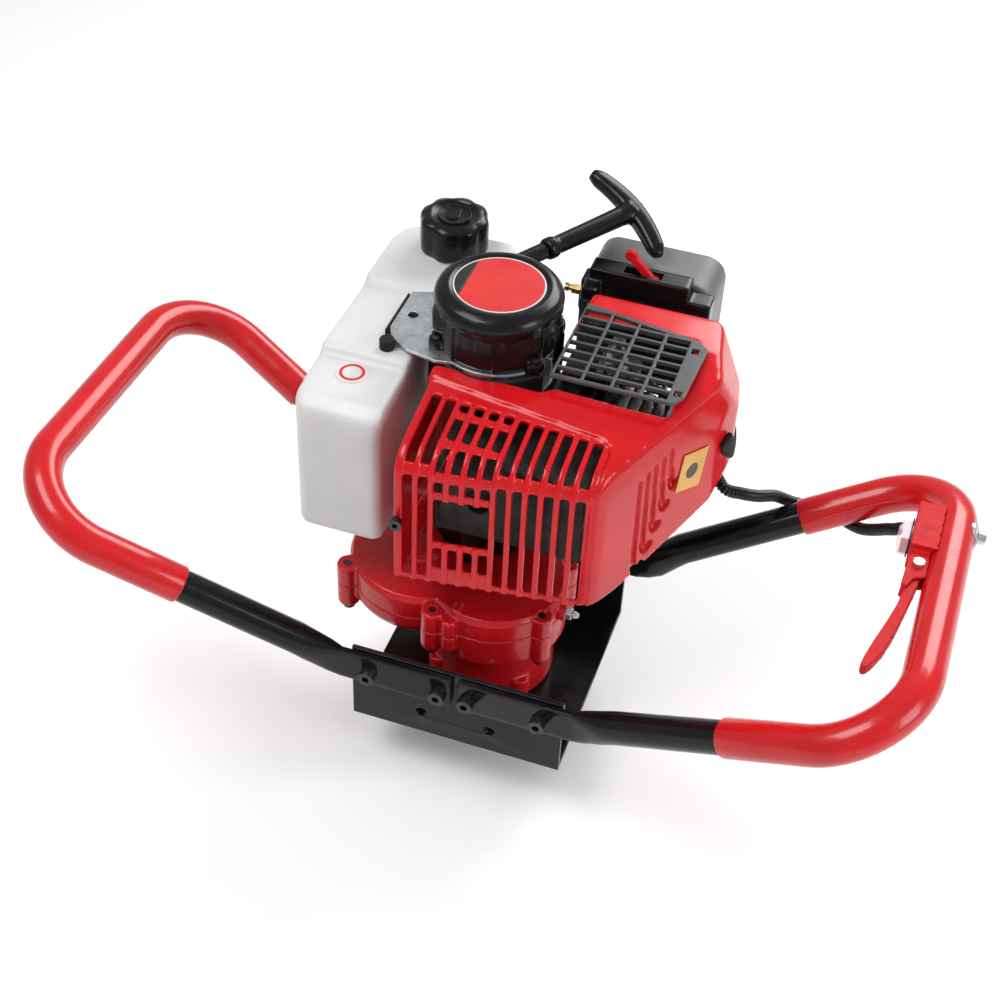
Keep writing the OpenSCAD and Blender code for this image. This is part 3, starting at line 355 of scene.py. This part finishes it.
def melt(obj, voxel, passes):
    """Fuses overlapping solids into one skin and rounds every edge and inside corner."""
    remesh = obj.modifiers.new("fuse", "REMESH")
    remesh.mode = "VOXEL"
    remesh.voxel_size = voxel * MM
    remesh.use_smooth_shade = True
    soft = obj.modifiers.new("soften", "SMOOTH")
    soft.factor = 0.5
    soft.iterations = passes


def settle(obj):
    """Applies the modifiers that obj has so far."""
    bpy.context.view_layer.update()
    graph = bpy.context.evaluated_depsgraph_get()
    made = bpy.data.meshes.new_from_object(obj.evaluated_get(graph), depsgraph=graph)
    obj.modifiers.clear()
    obj.data = made


def boolean(obj, tool, operation):
    """Cuts or joins with tool, which is used up."""
    cut = obj.modifiers.new("cut", "BOOLEAN")
    cut.operation = operation
    cut.solver = "EXACT"
    cut.object = tool
    settle(obj)
    bpy.data.objects.remove(tool)


def bevel(obj, width, angle=30, segments=3):
    """Rounds the edges that are sharper than the angle."""
    weld = obj.modifiers.new("weld", "WELD")
    weld.merge_threshold = 0.00001
    edge = obj.modifiers.new("edges", "BEVEL")
    edge.width = width * MM
    edge.segments = segments
    edge.limit_method = "ANGLE"
    edge.angle_limit = math.radians(angle)
    edge.use_clamp_overlap = True
    edge.harden_normals = False


# ---------------------------------------------------------------- engine shroud
DRUM = (-25.281, 56.534)
SHROUD_TOP = 296.5
SLANT = math.radians(7.5)
FRONT = Vector((-60, -80, 0))
SLOT_X, SLOT_PITCH, SLOT_W = -50.7, 11.25, 7.2
LEAN_FROM = 256
GRILLE_STEP, CHANNEL_DEPTH, INSIDE = 2.4, 4.2, 6.4
WALL = Matrix.Translation((93, -50, 0)) @ Matrix.Rotation(math.atan2(110, 56), 4, "Z")
# maps an outline drawn in Y and Z to a prism that runs along X from -200
FROM_SIDE = Matrix(((0, 0, 1, -200), (1, 0, 0, 0), (0, 1, 0, 0), (0, 0, 0, 1)))


def shrunk(obj, depth):
    """A copy of obj with its surface moved inwards."""
    inner = obj.copy()
    inner.data = obj.data.copy()
    bpy.context.scene.collection.objects.link(inner)
    step = inner.modifiers.new("inset", "DISPLACE")
    step.strength = -depth * MM
    step.mid_level = 0
    melt(inner, 2.2, 2)
    settle(inner)
    return inner


def trim(bm, point, normal):
    """Cuts away what lies on the normal's side of a plane and closes the cut."""
    cut = bmesh.ops.bisect_plane(bm, geom=bm.verts[:] + bm.edges[:] + bm.faces[:], plane_co=point,
                                 plane_no=normal, clear_outer=True)
    edges = [e for e in cut["geom_cut"] if isinstance(e, bmesh.types.BMEdge)]
    if edges:
        bmesh.ops.contextual_create(bm, geom=edges)


def shroud_block():
    """The closed block that the shroud's skin is taken from, before its edges are rounded."""
    bm = bmesh.new()
    prism(bm, [(-60, -80), (82, -61.3), (93, -50), (149, 60), (157, 84), (152, 112), (126, 129),
               (27, 129), (27, 14), (-60, 14)], 118, SHROUD_TOP)
    across = Vector((-math.sin(SLANT), math.cos(SLANT), 0))
    # a rounded brow of radius 26, ending in the slight fall of the top
    for degrees in [174 - 10 * k for k in range(8)] + [101]:
        a = math.radians(degrees)
        out = across * math.cos(a) + UP * math.sin(a)
        trim(bm, FRONT + across * 26 + UP * 248 + out * 26, out)
    for p, q, lean in (((93, -50), (149, 60), 9), ((157, 84), (152, 112), 25)):
        along = Vector((q[0] - p[0], q[1] - p[1], 0)).normalized()
        out = along.cross(UP)
        tip = out * math.cos(math.radians(lean)) + UP * math.sin(math.radians(lean))
        trim(bm, Vector((p[0], p[1], LEAN_FROM)), tip)
    return bm


def louvre_path(k):
    """A groove on the cheek: down the wall, then hooking towards the rear at its foot."""
    u = 36 + 8.2 * k
    top, foot = 250 + 3 * k, 156 + 16.5 * k
    hook = 15 - 2 * k
    points = [(u, top), (u + 0.5, top - 25), (u + 1.5, (top + foot) / 2), (u + 2.5, foot + 12),
              (u + 4.5, foot + 3), (u + 8, foot), (u + hook, foot + 6)]
    return smooth_path([WALL @ Vector((a, 0.2, b)) for a, b in points], 5)


def engine_shroud():
    """The red cover: a rounded block, hollowed, with a ribbed grille in front and louvres on the cheek."""
    shell = to_object("engine_shroud_skin", shroud_block(), RED_GLOSS)
    melt(shell, 2.6, 16)
    settle(shell)

    # the grille sits a step below the frame round it
    inset = shrunk(shell, GRILLE_STEP)
    ribs = shrunk(shell, CHANNEL_DEPTH)
    inner = shrunk(shell, INSIDE)
    frame_cut = bmesh.new()
    prism(frame_cut, [(-90, -120), (87, -120), (87, -40)] + arc(74, -27, 13, 0, 82, 6) + [(-90, 4)], 60, 330)
    boolean(shell, to_object("grille_field", frame_cut, RED_GLOSS), "DIFFERENCE")
    boolean(shell, inset, "UNION")

    cuts = bmesh.new()
    prism(cuts, [(-120, 90), (170, 90), (170, 218), (84, 200), (60, 178), (-30, 150), (-120, 150)], 0, 500,
          FROM_SIDE)
    boolean(shell, to_object("under", cuts, RED_GLOSS), "DIFFERENCE")
    boolean(shell, inner, "DIFFERENCE")
    for lo, hi in (((20, 17.5, 80), (33, 200, 293)), ((33.5, 118, 80), (128, 200, 270)),
                   ((31, 18, 275), (117, 96, 310))):
        cuts = bmesh.new()
        block(cuts, lo, hi)
        boolean(shell, to_object("opening", cuts, RED_GLOSS), "DIFFERENCE")

    melt(shell, 1.5, 1)
    settle(shell)

    # channels beside the ribs, so that the cross bands lie behind them
    cuts = bmesh.new()
    for i in range(12):
        x0 = SLOT_X + SLOT_PITCH * i
        block(cuts, (x0, -110, 120), (x0 + SLOT_W, -12 - 0.5 * i, 330))
    channels = to_object("channels", cuts, RED_GLOSS)
    boolean(channels, ribs, "DIFFERENCE")
    boolean(shell, channels, "DIFFERENCE")

    # through slots, broken into short windows in the columns that pass the exhaust's outlet
    cuts = bmesh.new()
    for i in range(12):
        x0 = SLOT_X + SLOT_PITCH * i
        x1 = x0 + SLOT_W
        if i < 2 or i > 5:
            spans = [((-110, 155), (-40, 252)), ((-110, 261), (-12 - 0.5 * i, 330))]
        else:
            spans = [((-110, 165), (-40, 185)), ((-110, 240), (-40, 249)), ((-110, 257), (-52, 268)),
                     ((-46, 262), (-27, 330)), ((-20, 262), (-14, 330))]
        for (y0, z0), (y1, z1) in spans:
            block(cuts, (x0, y0, z0), (x1, y1, z1))
    block(cuts, (SLOT_X + 2 * SLOT_PITCH, -110, 191), (SLOT_X + 5 * SLOT_PITCH + SLOT_W, -40, 233))
    boolean(shell, to_object("slots", cuts, RED_GLOSS), "DIFFERENCE")

    cuts = bmesh.new()
    for k in range(5):
        path = louvre_path(k)
        last = len(path) - 1
        sizes = [2.1 + 2.6 * (i / last) ** 1.3 - (2.2 if i == last else 0) for i in range(last + 1)]
        sweep(cuts, path, [(s, s * 1.15, 1) for s in sizes], 14)
    grooves = to_object("louvres", cuts, RED_GLOSS)
    melt(grooves, 0.8, 1)
    settle(grooves)
    boolean(shell, grooves, "DIFFERENCE")

    melt(shell, 0.95, 2)
    hand_over(shell, "powerhead", ("engine_shroud",))


engine_shroud()


# ---------------------------------------------------------------- recoil starter
PULL_AT = Vector((-14, 133, 320))
PULL = Vector((0.5272, 0.8498, 0)).normalized()
PULL_FRAME = Matrix.Translation(PULL_AT) @ Matrix(((0, -PULL.y, PULL.x), (0, PULL.x, PULL.y),
                                                   (-1, 0, 0))).to_4x4()
BOSSES = [math.radians(a) for a in (-34, 34, 146, 214)]
BOSS_R = 46


def from_drum(a, r):
    """The place at angle a and distance r from the drum's axis."""
    return Matrix.Translation((DRUM[0] + r * math.cos(a), DRUM[1] + r * math.sin(a), 0))


def starter():
    """The starter's cover with its rope neck and screw wells, and the round label on it."""
    bm = bmesh.new()
    centre = Matrix.Translation((DRUM[0], DRUM[1], 0))

    def facets(a, r, z):
        return 0.5 * math.cos(16 * a) if r > 40 and 290 < z < 318 else 0.0

    lathe(bm, [(0.5, 331), (38.5, 331), (38.5, 288.6), (43.6, 288.6), (44.6, 292), (44.8, 305), (44.2, 316),
               (44.4, 319), (46.6, 321), (47.8, 324), (48, 328), (47, 331.5), (44.6, 334.3), (41, 336.2),
               (37.2, 336.9), (36.2, 336.4), (35.7, 335.6), (0.5, 335.6)], centre, 128, facets)
    for a in BOSSES:
        rod(bm, 6.6, 288.6, 296, from_drum(a, BOSS_R))
        lathe(bm, [(5.5, 303), (6.6, 306), (6.9, 321), (5.5, 326)], from_drum(a, 43.4), 32)
    for k in range(8):
        a = math.tau * (k + 0.35) / 8
        spin = centre @ Matrix.Rotation(a, 4, "Z")
        block(bm, (42, -1.3, 289.5), (46.2, 1.3, 320), spin)
    cover = to_object("starter_cover_shell", bm, BLACK_GLOSS)
    melt(cover, 1.0, 4)
    settle(cover)
    bm = bmesh.new()
    lathe(bm, [(6.6, -50), (6.6, -2.4), (5.6, -1.6)], PULL_FRAME, 40)
    neck = to_object("rope_neck", bm, BLACK_GLOSS)
    bm = bmesh.new()
    rod(bm, 40, 300, 330.5, centre, 96)
    boolean(neck, to_object("inside", bm, BLACK_GLOSS), "DIFFERENCE")
    boolean(cover, neck, "UNION")
    bm = bmesh.new()
    lathe(bm, [(2.6, -56), (2.6, -3), (4.4, -1)], PULL_FRAME, 32)
    boolean(cover, to_object("rope_hole", bm, BLACK_GLOSS), "DIFFERENCE")
    for a in BOSSES:
        bm = bmesh.new()
        rod(bm, 4.7, 296, 302.4, from_drum(a, BOSS_R), 32)
        rod(bm, 2.5, 280, 297, from_drum(a, BOSS_R), 24)
        boolean(cover, to_object("screw_well", bm, BLACK_GLOSS), "DIFFERENCE")
    shade(cover, 40)
    hand_over(cover, "powerhead", ("starter_cover",))

    # round label: a red field and a dark field either side of a chord, inside a pale line
    facing = centre @ Matrix.Rotation(math.pi, 4, "Z")
    for name, mat, middle, half in (("starter_label_field", LABEL_RED, 180, 136),
                                    ("starter_label_side", LABEL_DARK, 0, 43)):
        bm = bmesh.new()
        prism(bm, arc(0, 0, 33, middle - half, middle + half, 64), 335.7, 336.5, facing)
        piece = to_object(name, bm, mat)
        bevel(piece, 0.25, 40, 2)
        hand_over(piece, "powerhead", ("starter_label",))
    bm = bmesh.new()
    lathe(bm, [(34.2, 335.7), (34.2, 336.35), (33.2, 336.35), (33.2, 335.7)], centre, 128)
    hand_over(to_object("starter_label_line", bm, LABEL_PALE), "powerhead", ("starter_label",))


def pull_handle():
    """The T-shaped handle, modelled along the rope with its bar at the far end."""
    bm = bmesh.new()
    lathe(bm, [(5.5, 0), (8, 0.8), (8.7, 2.5), (8.7, 8), (7.4, 10), (7.2, 13), (7.4, 40), (7.9, 76),
               (9.2, 88)], PULL_FRAME, 48)
    tilt = math.radians(-68)
    half, last = 44, 24
    bow, sizes = [], []
    for i in range(last + 1):
        u = -half + 2 * half * i / last
        k = abs(u) / half
        bow.append(PULL_FRAME @ Vector((u * math.cos(tilt), u * math.sin(tilt), 91 - 9 * k ** 2.0)))
        rounding = 2.6 if i in (0, last) else 0.9 if i in (1, last - 1) else 0
        thick = 8.4 - 1.8 * k ** 1.5 - rounding
        sizes.append((thick * 0.9, thick, 0.72))
    sweep(bm, bow, sizes, 32)
    handle = to_object("pull_handle_grip", bm, BLACK_GLOSS)
    melt(handle, 0.9, 6)
    hand_over(handle, "pull_grip", ("pull_handle",))


starter()
pull_handle()


# ---------------------------------------------------------------- fuel tank and cap
TANK_LOW, TANK_TOP = 152, 289
NECK = (-95, 155)


def fuel_tank():
    """The milky tank with its stepped top and filler neck, and the cap with a raised drop on it."""
    bm = bmesh.new()
    prism(bm, [(-140, -50), (-84, -50), (-79, -45), (-79, 96), (-68, 112), (-50, 118), (-44, 124), (-44, 166),
               (-54, 178), (-124, 178), (-140, 168), (-146, 150), (-148, 0), (-147, -43)], TANK_LOW, 320)
    top_line = [(-80, 250), (-50, 268), (-38, 276), (6, 276), (10, 283), (90, 283), (96, TANK_TOP),
                (178, TANK_TOP), (210, TANK_TOP), (210, 350), (-80, 350)]
    body = to_object("fuel_tank_body", bm, MILKY)
    above = bmesh.new()
    prism(above, top_line, 0, 200, FROM_SIDE)
    boolean(body, to_object("above", above, MILKY), "DIFFERENCE")
    melt(body, 2.2, 12)
    settle(body)
    bm = bmesh.new()
    at_neck = Matrix.Translation((NECK[0], NECK[1], 0))
    lathe(bm, [(27, 286), (26, 289.4), (22.6, 290.4), (22, 291.5), (22, 303)], at_neck, 64)
    boolean(body, to_object("neck", bm, MILKY), "UNION")
    shade(body, 50)
    hand_over(body, "powerhead", ("fuel_tank",))

    # the cap is a hollow cup with eight soft lobes round it
    def lobes(a, r, _):
        return 1.9 * (0.5 + 0.5 * math.cos(8 * a)) ** 0.7 if r > 24 else 0.0

    bm = bmesh.new()
    lathe(bm, [(0.5, 306.5), (22.4, 306.5), (22.4, 291.2), (25.2, 291.2), (25.8, 292.5), (26, 300), (26, 313),
               (25.6, 315.6), (24.2, 318.2), (21.5, 319.7), (19.2, 319.9), (18.4, 319.2), (17.6, 318.6),
               (0.5, 318.9)], at_neck, 160, lobes)
    cap = to_object("fuel_cap_moulding", bm, BLACK_GLOSS)
    shade(cap, 45)
    hand_over(cap, "fuel_cap", ("fuel_cap",))
    bm = bmesh.new()
    lathe(bm, [(13.4, 318.6), (13.4, 319.4), (12.2, 319.4), (12.2, 318.6)], at_neck, 96)
    drop = arc(0, -2.2, 5.2, -200, 20, 18) + [(0, 8.6)]
    prism(bm, drop, 318.6, 319.5, at_neck @ Matrix.Rotation(math.radians(-20), 4, "Z"))
    mark = to_object("fuel_cap_mark", bm, BLACK_GLOSS)
    bevel(mark, 0.25, 40, 2)
    hand_over(mark, "fuel_cap")


fuel_tank()


# ---------------------------------------------------------------- handles
BOLT_Z, FLANGE_Y = 60, 94.2
FRONT_FROM, FRONT_CORNER = Vector((129, -98, 77)), Vector((330, -160, 205))
REAR_CORNER, REAR_FROM = Vector((332, 152, 187.5)), Vector((129, 99, 84))
TUBE_R, GRIP_R = 12.7, 14.75


def corner(a, p, b, r, steps):
    """The bend of radius r at p between the straights from a and to b."""
    u, v = (a - p).normalized(), (b - p).normalized()
    half = u.angle(v) / 2
    k = p + (u + v).normalized() * r / math.sin(half)
    s, e = p + u * r / math.tan(half) - k, p + v * r / math.tan(half) - k
    turn = math.pi - 2 * half
    return [k + (s * math.sin(turn * (1 - i / steps)) + e * math.sin(turn * i / steps)) / math.sin(turn)
            for i in range(steps + 1)]


def between(a, b, steps):
    """Points inside the straight from a to b."""
    return [a.lerp(b, i / steps) for i in range(1, steps)]


def mirrored(path, side):
    """The path itself for side 1, its mirror image for side -1."""
    return [Vector((side * p.x, p.y, p.z)) for p in path]


BEND_1 = corner(FRONT_FROM, FRONT_CORNER, REAR_CORNER, 57, 20)
BEND_2 = corner(FRONT_CORNER, REAR_CORNER, REAR_FROM, 57, 20)


def handle_end(sign, end):
    """From the flattened, bolted end to where the tube is round, with its sections."""
    y = sign * FLANGE_Y
    path = [Vector((3, y, BOLT_Z)), Vector((4, y, BOLT_Z)), Vector((94, y, BOLT_Z)),
            Vector((100, y + 0.2 * sign, BOLT_Z + 1.6)), Vector((108, y + 0.7 * sign, BOLT_Z + 5.5)),
            Vector((118, y + 1.9 * sign, BOLT_Z + (10.4 if sign < 0 else 15))), end]
    sections = [(14.2, 2.4, 0.25), (15, 3, 0.25), (15, 3, 0.3), (14.8, 4.6, 0.5), (14.2, 7, 0.62),
                (13.3, 10.4, 0.84), (TUBE_R, TUBE_R, 1)]
    return path, sections


def handles():
    """Both bent tubes with their red sleeves and the moulding line inside each sleeve."""
    front_path, front_sizes = handle_end(-1, FRONT_FROM)
    rear_path, rear_sizes = handle_end(1, REAR_FROM)
    middle = (between(FRONT_FROM, BEND_1[0], 4) + BEND_1 + between(BEND_1[-1], BEND_2[0], 4) + BEND_2
              + between(BEND_2[-1], REAR_FROM, 4))
    path = front_path + middle + list(reversed(rear_path))
    sizes = front_sizes + [(TUBE_R, TUBE_R, 1)] * len(middle) + list(reversed(rear_sizes))
    for side, label in ((1, "right"), (-1, "left")):
        bm = bmesh.new()
        sweep(bm, mirrored(path, side), sizes, 48)
        tube = to_object("handle_tube_" + label, bm, BLACK_ENAMEL)
        shade(tube, 60)
        hand_over(tube, "powerhead", ("handle_tubes",))

        start = FRONT_FROM.lerp(FRONT_CORNER, 0.41)
        stop = REAR_FROM.lerp(REAR_CORNER, 0.43)
        lead_in, lead_out = (BEND_1[0] - start).normalized(), (stop - BEND_2[-1]).normalized()
        inner = (between(start, BEND_1[0], 4) + BEND_1 + between(BEND_1[-1], BEND_2[0], 8) + BEND_2
                 + between(BEND_2[-1], stop, 4))
        route = ([start + lead_in * 0.02, start, start + lead_in * 0.6, start + lead_in * 1.6] + inner[1:-1]
                 + [stop - lead_out * 1.6, stop - lead_out * 0.6, stop, stop - lead_out * 0.02])
        mouth = [TUBE_R + 0.1, GRIP_R - 0.9, GRIP_R - 0.25, GRIP_R]
        radii = mouth + [GRIP_R] * (len(inner) - 2) + list(reversed(mouth))
        bm = bmesh.new()
        sweep(bm, mirrored(route, side), [(r, r, 1) for r in radii], 48)
        grip = to_object("grip_" + label, bm, RED_GRIP)
        shade(grip, 60)
        hand_over(grip, "powerhead", ("grips",))

        # moulding line along the inside of the sleeve
        centre = Vector((side * 150, 0, 130))
        axis = mirrored(inner, side)
        seam = []
        for k, p in enumerate(axis):
            ahead = (axis[min(k + 1, len(axis) - 1)] - axis[max(k - 1, 0)]).normalized()
            inward = centre - p
            inward = (inward - ahead * inward.dot(ahead)).normalized()
            seam.append(p + inward * (GRIP_R - 0.15))
        bm = bmesh.new()
        sweep(bm, seam, [(0.45, 0.45, 1)] * len(seam), 8)
        line = to_object("grip_seam_" + label, bm, RED_GRIP)
        shade(line, 60)
        hand_over(line, "powerhead")


handles()


# ---------------------------------------------------------------- throttle cable's corrugated sleeve
def conduit():
    """The sleeve's ridges, evenly spaced along the route from the carburettor to the switch housing."""
    points = [(70, 134, 203), (92, 135, 196), (114, 126, 190), (132, 108, 184), (145, 92, 180),
              (157, 81, 175), (170, 88, 168), (181, 101, 158), (192, 124, 142), (204, 140, 126),
              (216, 148, 119), (229, 150, 117), (242, 147, 119), (253, 136, 122), (264, 122, 132),
              (274, 109, 146), (282, 97, 160), (288, 88, 170), (293, 83.6, 176.6), (296.8, 81.9, 179)]
    fine = smooth_path(points, 60)
    lengths = [0.0]
    for a, b in zip(fine, fine[1:]):
        lengths.append(lengths[-1] + (b - a).length)
    pitch, per = 2.6, 4
    count = int(lengths[-1] / pitch * per)
    path, j = [], 0
    for i in range(count + 1):
        goal = lengths[-1] * i / count
        while j < len(lengths) - 2 and lengths[j + 1] < goal:
            j += 1
        path.append(fine[j].lerp(fine[j + 1], (goal - lengths[j]) / (lengths[j + 1] - lengths[j])))
    radii = [(4.95, 4.95, 4.1, 4.1)[i % per] for i in range(count + 1)]
    bm = bmesh.new()
    sweep(bm, path, [(r, r, 1) for r in radii], 20)
    sleeve = to_object("cable_sleeve", bm, BLACK_GLOSS)
    shade(sleeve, 70)
    hand_over(sleeve, "powerhead", ("cable_conduit",))


conduit()


# ---------------------------------------------------------------- air filter
def air_filter():
    """The grey cover with its raised back, and the black base with the choke lever's slot."""
    place = Matrix(((1, 0, 0, 0), (0, 0, -1, 212), (0, 1, 0, 0), (0, 0, 0, 1)))
    bm = bmesh.new()
    outline = (arc(97, 276, 17.5, 90, 0, 8) + arc(103.5, 216, 11, 0, -90, 6) + arc(25, 216, 12, -90, -180, 6)
               + arc(27, 279, 14.5, 180, 90, 8))
    prism(bm, list(reversed(outline)), 0, 45.6, place)
    prism(bm, list(reversed([(63.5 + (x - 63.5) * 0.86, 250 + (z - 250) * 0.80) for x, z in outline])),
          -0.1, 2.2, place)
    cover = to_object("filter_cover_shell", bm, GREY_PLASTIC)
    melt(cover, 1.6, 9)
    hand_over(cover, "powerhead", ("filter_cover",))

    bm = bmesh.new()
    block(bm, (12, 148, 204), (115, 166.4, 290))
    block(bm, (18, 148.3, 284), (97, 166.4, 302))
    block(bm, (16, 134, 280), (28, 150, 292))
    block(bm, (10.2, 150, 262), (14, 164, 276))
    for x in (24, 60, 92):
        rod(bm, 4.4, 146.2, 150, Matrix(((1, 0, 0, x), (0, 0, 1, 0), (0, -1, 0, 276), (0, 0, 0, 1))))
    base = to_object("filter_base_shell", bm, BLACK_GLOSS)
    melt(base, 1.2, 5)
    settle(base)
    cut = bmesh.new()
    block(cut, (44, 152.5, 289), (74, 161.5, 306))
    boolean(base, to_object("lever_slot", cut, BLACK_GLOSS), "DIFFERENCE")
    shade(base, 40)
    hand_over(base, "powerhead", ("filter_base",))


air_filter()


# ---------------------------------------------------------------- soft edges on the castings and fittings
for name, voxel, passes in (
        ("gearbox_case", 1.2, 5), ("gearbox_cover", 1.1, 4), ("clutch_housing", 1.2, 4),
        ("crankcase", 1.3, 4), ("fan_housing", 1.2, 4), ("muffler", 1.3, 5), ("carburettor", 0.9, 4),
        ("plug_boot", 0.7, 5),
        ("tank_cushion", 0.9, 4), ("throttle_lever", 0.6, 4), ("choke_lever", 0.5, 4),
        ("switch_housing", 0.7, 4)):
    melt(NODES[name], voxel, passes)
for name, width in (("mounting_bracket", 0.7), ("shroud_grid", 0.6), ("tank_bracket", 0.4),
                    ("handle_bolts", 0.5), ("bracket_bolts", 0.5), ("gearbox_bolts", 0.4),
                    ("housing_bolts", 0.4), ("cover_screws", 0.4), ("handle_nuts", 0.5), ("cylinder", 0.4),
                    ("grease_nipple", 0.25), ("fuel_fitting", 0.25), ("clamp_washer", 0.4),
                    ("lever_screw", 0.3), ("output_shaft", 0.5), ("kill_switch", 0.8), ("spark_plug", 0.3)):
    bevel(NODES[name], width)


# ---------------------------------------------------------------- controls, stickers and seals
# the controls' frame: on the right sleeve's axis, with -X pointing inwards
CONTROL = Matrix.Translation((331.4, 63, 192.5)) @ Matrix.Rotation(math.radians(-3.2), 4, "X")


def switch_boot():
    """Clear boot over the rocker, with the ribbed collar it is held by."""
    at_switch = CONTROL @ Matrix.Translation((-29, -6.5, 0.5))
    bm = bmesh.new()
    block(bm, (-9.6, -12.6, -8), (-1.2, 12.6, 8.6), at_switch)
    rod(bm, 6.5, -8, 8.6, at_switch @ Matrix.Translation((-5, 0, 0)))
    boot = to_object("switch_boot", bm, CLEAR)
    melt(boot, 0.8, 8)
    hand_over(boot, "stop_switch")
    bm = bmesh.new()
    for x in (-2.2, -0.6):
        block(bm, (x - 0.5, -13, -8.6), (x + 0.5, 13, 9.2), at_switch)
    collar = to_object("switch_collar", bm, BLACK_MATT)
    bevel(collar, 0.3)
    hand_over(collar, "powerhead")


def cheek_sticker():
    """Plain amber film with a dark disc, on the cheek's wall."""
    bm = bmesh.new()
    corners = [(83, 247), (77.5, 214), (105, 206), (111, 241)]
    low = [bm.verts.new(WALL @ Vector((u, -0.4, v))) for u, v in corners]
    high = [bm.verts.new(WALL @ Vector((u, -1.1, v))) for u, v in corners]
    bm.faces.new(low)
    bm.faces.new(high)
    for i in range(4):
        j = (i + 1) % 4
        bm.faces.new((low[i], low[j], high[j], high[i]))
    film = to_object("cheek_sticker", bm, LABEL_AMBER)
    bevel(film, 0.25)
    hand_over(film, "powerhead")
    bm = bmesh.new()
    flat = WALL @ Matrix(((1, 0, 0, 94), (0, 0, -1, -1.0), (0, 1, 0, 227), (0, 0, 0, 1)))
    rod(bm, 6.5, 0, 0.4, flat)
    mark = to_object("cheek_sticker_mark", bm, LABEL_DARK)
    hand_over(mark, "powerhead")


def tank_sticker():
    """Plain pale disc with a red ring, on the tank's lower step."""
    at = Matrix.Translation((-115.8, -7.6, 276))
    bm = bmesh.new()
    rod(bm, 12.6, -0.8, 0.45, at, 64)
    film = to_object("tank_sticker", bm, LABEL_PALE)
    hand_over(film, "powerhead")
    bm = bmesh.new()
    lathe(bm, [(9.6, 0), (9.6, 0.7), (7.4, 0.7), (7.4, 0)], at, 64)
    hand_over(to_object("tank_sticker_ring", bm, LABEL_RED), "powerhead")


def rear_seal():
    """Black edging on the shroud's rear corner."""
    bm = bmesh.new()
    edge = [(153.5, 66, 236), (156, 74, 222), (157, 84, 214), (154, 100, 212), (150, 112, 214)]
    path = smooth_path(edge, 6)
    sweep(bm, path, [(7, 2.2, 0.4)] * len(path), 20)
    seal = to_object("shroud_edging", bm, RUBBER)
    melt(seal, 0.9, 3)
    hand_over(seal, "powerhead")


switch_boot()
cheek_sticker()
tank_sticker()
rear_seal()


# ---------------------------------------------------------------- materials on the CAD nodes
FINISH = {
    "mounting_bracket": BLACK_ENAMEL, "bracket_bolts": STEEL, "gearbox_case": RED_CAST,
    "gearbox_cover": RED_CAST, "gearbox_bolts": DARK_STEEL, "grease_nipple": ZINC, "output_shaft": STEEL,
    "output_gear": STEEL, "output_bearings": STEEL, "oil_seal": RUBBER, "intermediate_shaft": STEEL,
    "intermediate_gear": STEEL, "shaft_bearings": STEEL, "clutch_drum": STEEL, "clutch_housing": BLACK_GLOSS,
    "housing_bolts": STEEL, "clutch_shoes": ALLOY, "clutch_spring": STEEL, "crankcase": ALLOY,
    "crankshaft": STEEL, "main_bearings": STEEL, "flywheel_fan": ALLOY, "cylinder": SHADE_DARK_ALLOY,
    "piston": ALLOY, "spark_plug": STEEL, "plug_boot": RUBBER, "ignition_lead": RUBBER,
    "ignition_coil": BLACK_MATT, "muffler": EXHAUST, "insulator": BLACK_MATT, "carburettor": ALLOY,
    "fuel_fitting": BRASS,
    "filter_base": BLACK_GLOSS, "filter_element": FOAM, "filter_cover": GREY_PLASTIC,
    "choke_lever": RED_SATIN, "engine_shroud": RED_GLOSS, "shroud_grid": GRID_GREY,
    "cover_screws": DARK_STEEL, "fan_housing": BLACK_MATT, "tank_bracket": ZINC, "tank_cushion": RUBBER,
    "starter_cover": BLACK_GLOSS, "starter_label": RED_GLOSS, "starter_pulley": ALLOY,
    "recoil_spring": STEEL, "starter_rope": ROPE, "pull_handle": BLACK_GLOSS, "fuel_tank": MILKY,
    "fuel_cap": BLACK_GLOSS, "handle_tubes": BLACK_ENAMEL, "grips": RED_GRIP, "handle_bolts": DARK_STEEL,
    "handle_nuts": STEEL, "switch_housing": RED_SATIN, "kill_switch": PINK,
    "throttle_lever": RED_SATIN, "lever_screw": ZINC, "clamp_washer": ZINC, "cable_conduit": BLACK_MATT,
}
for name, mat in FINISH.items():
    NODES[name].data.materials.clear()
    NODES[name].data.materials.append(mat)
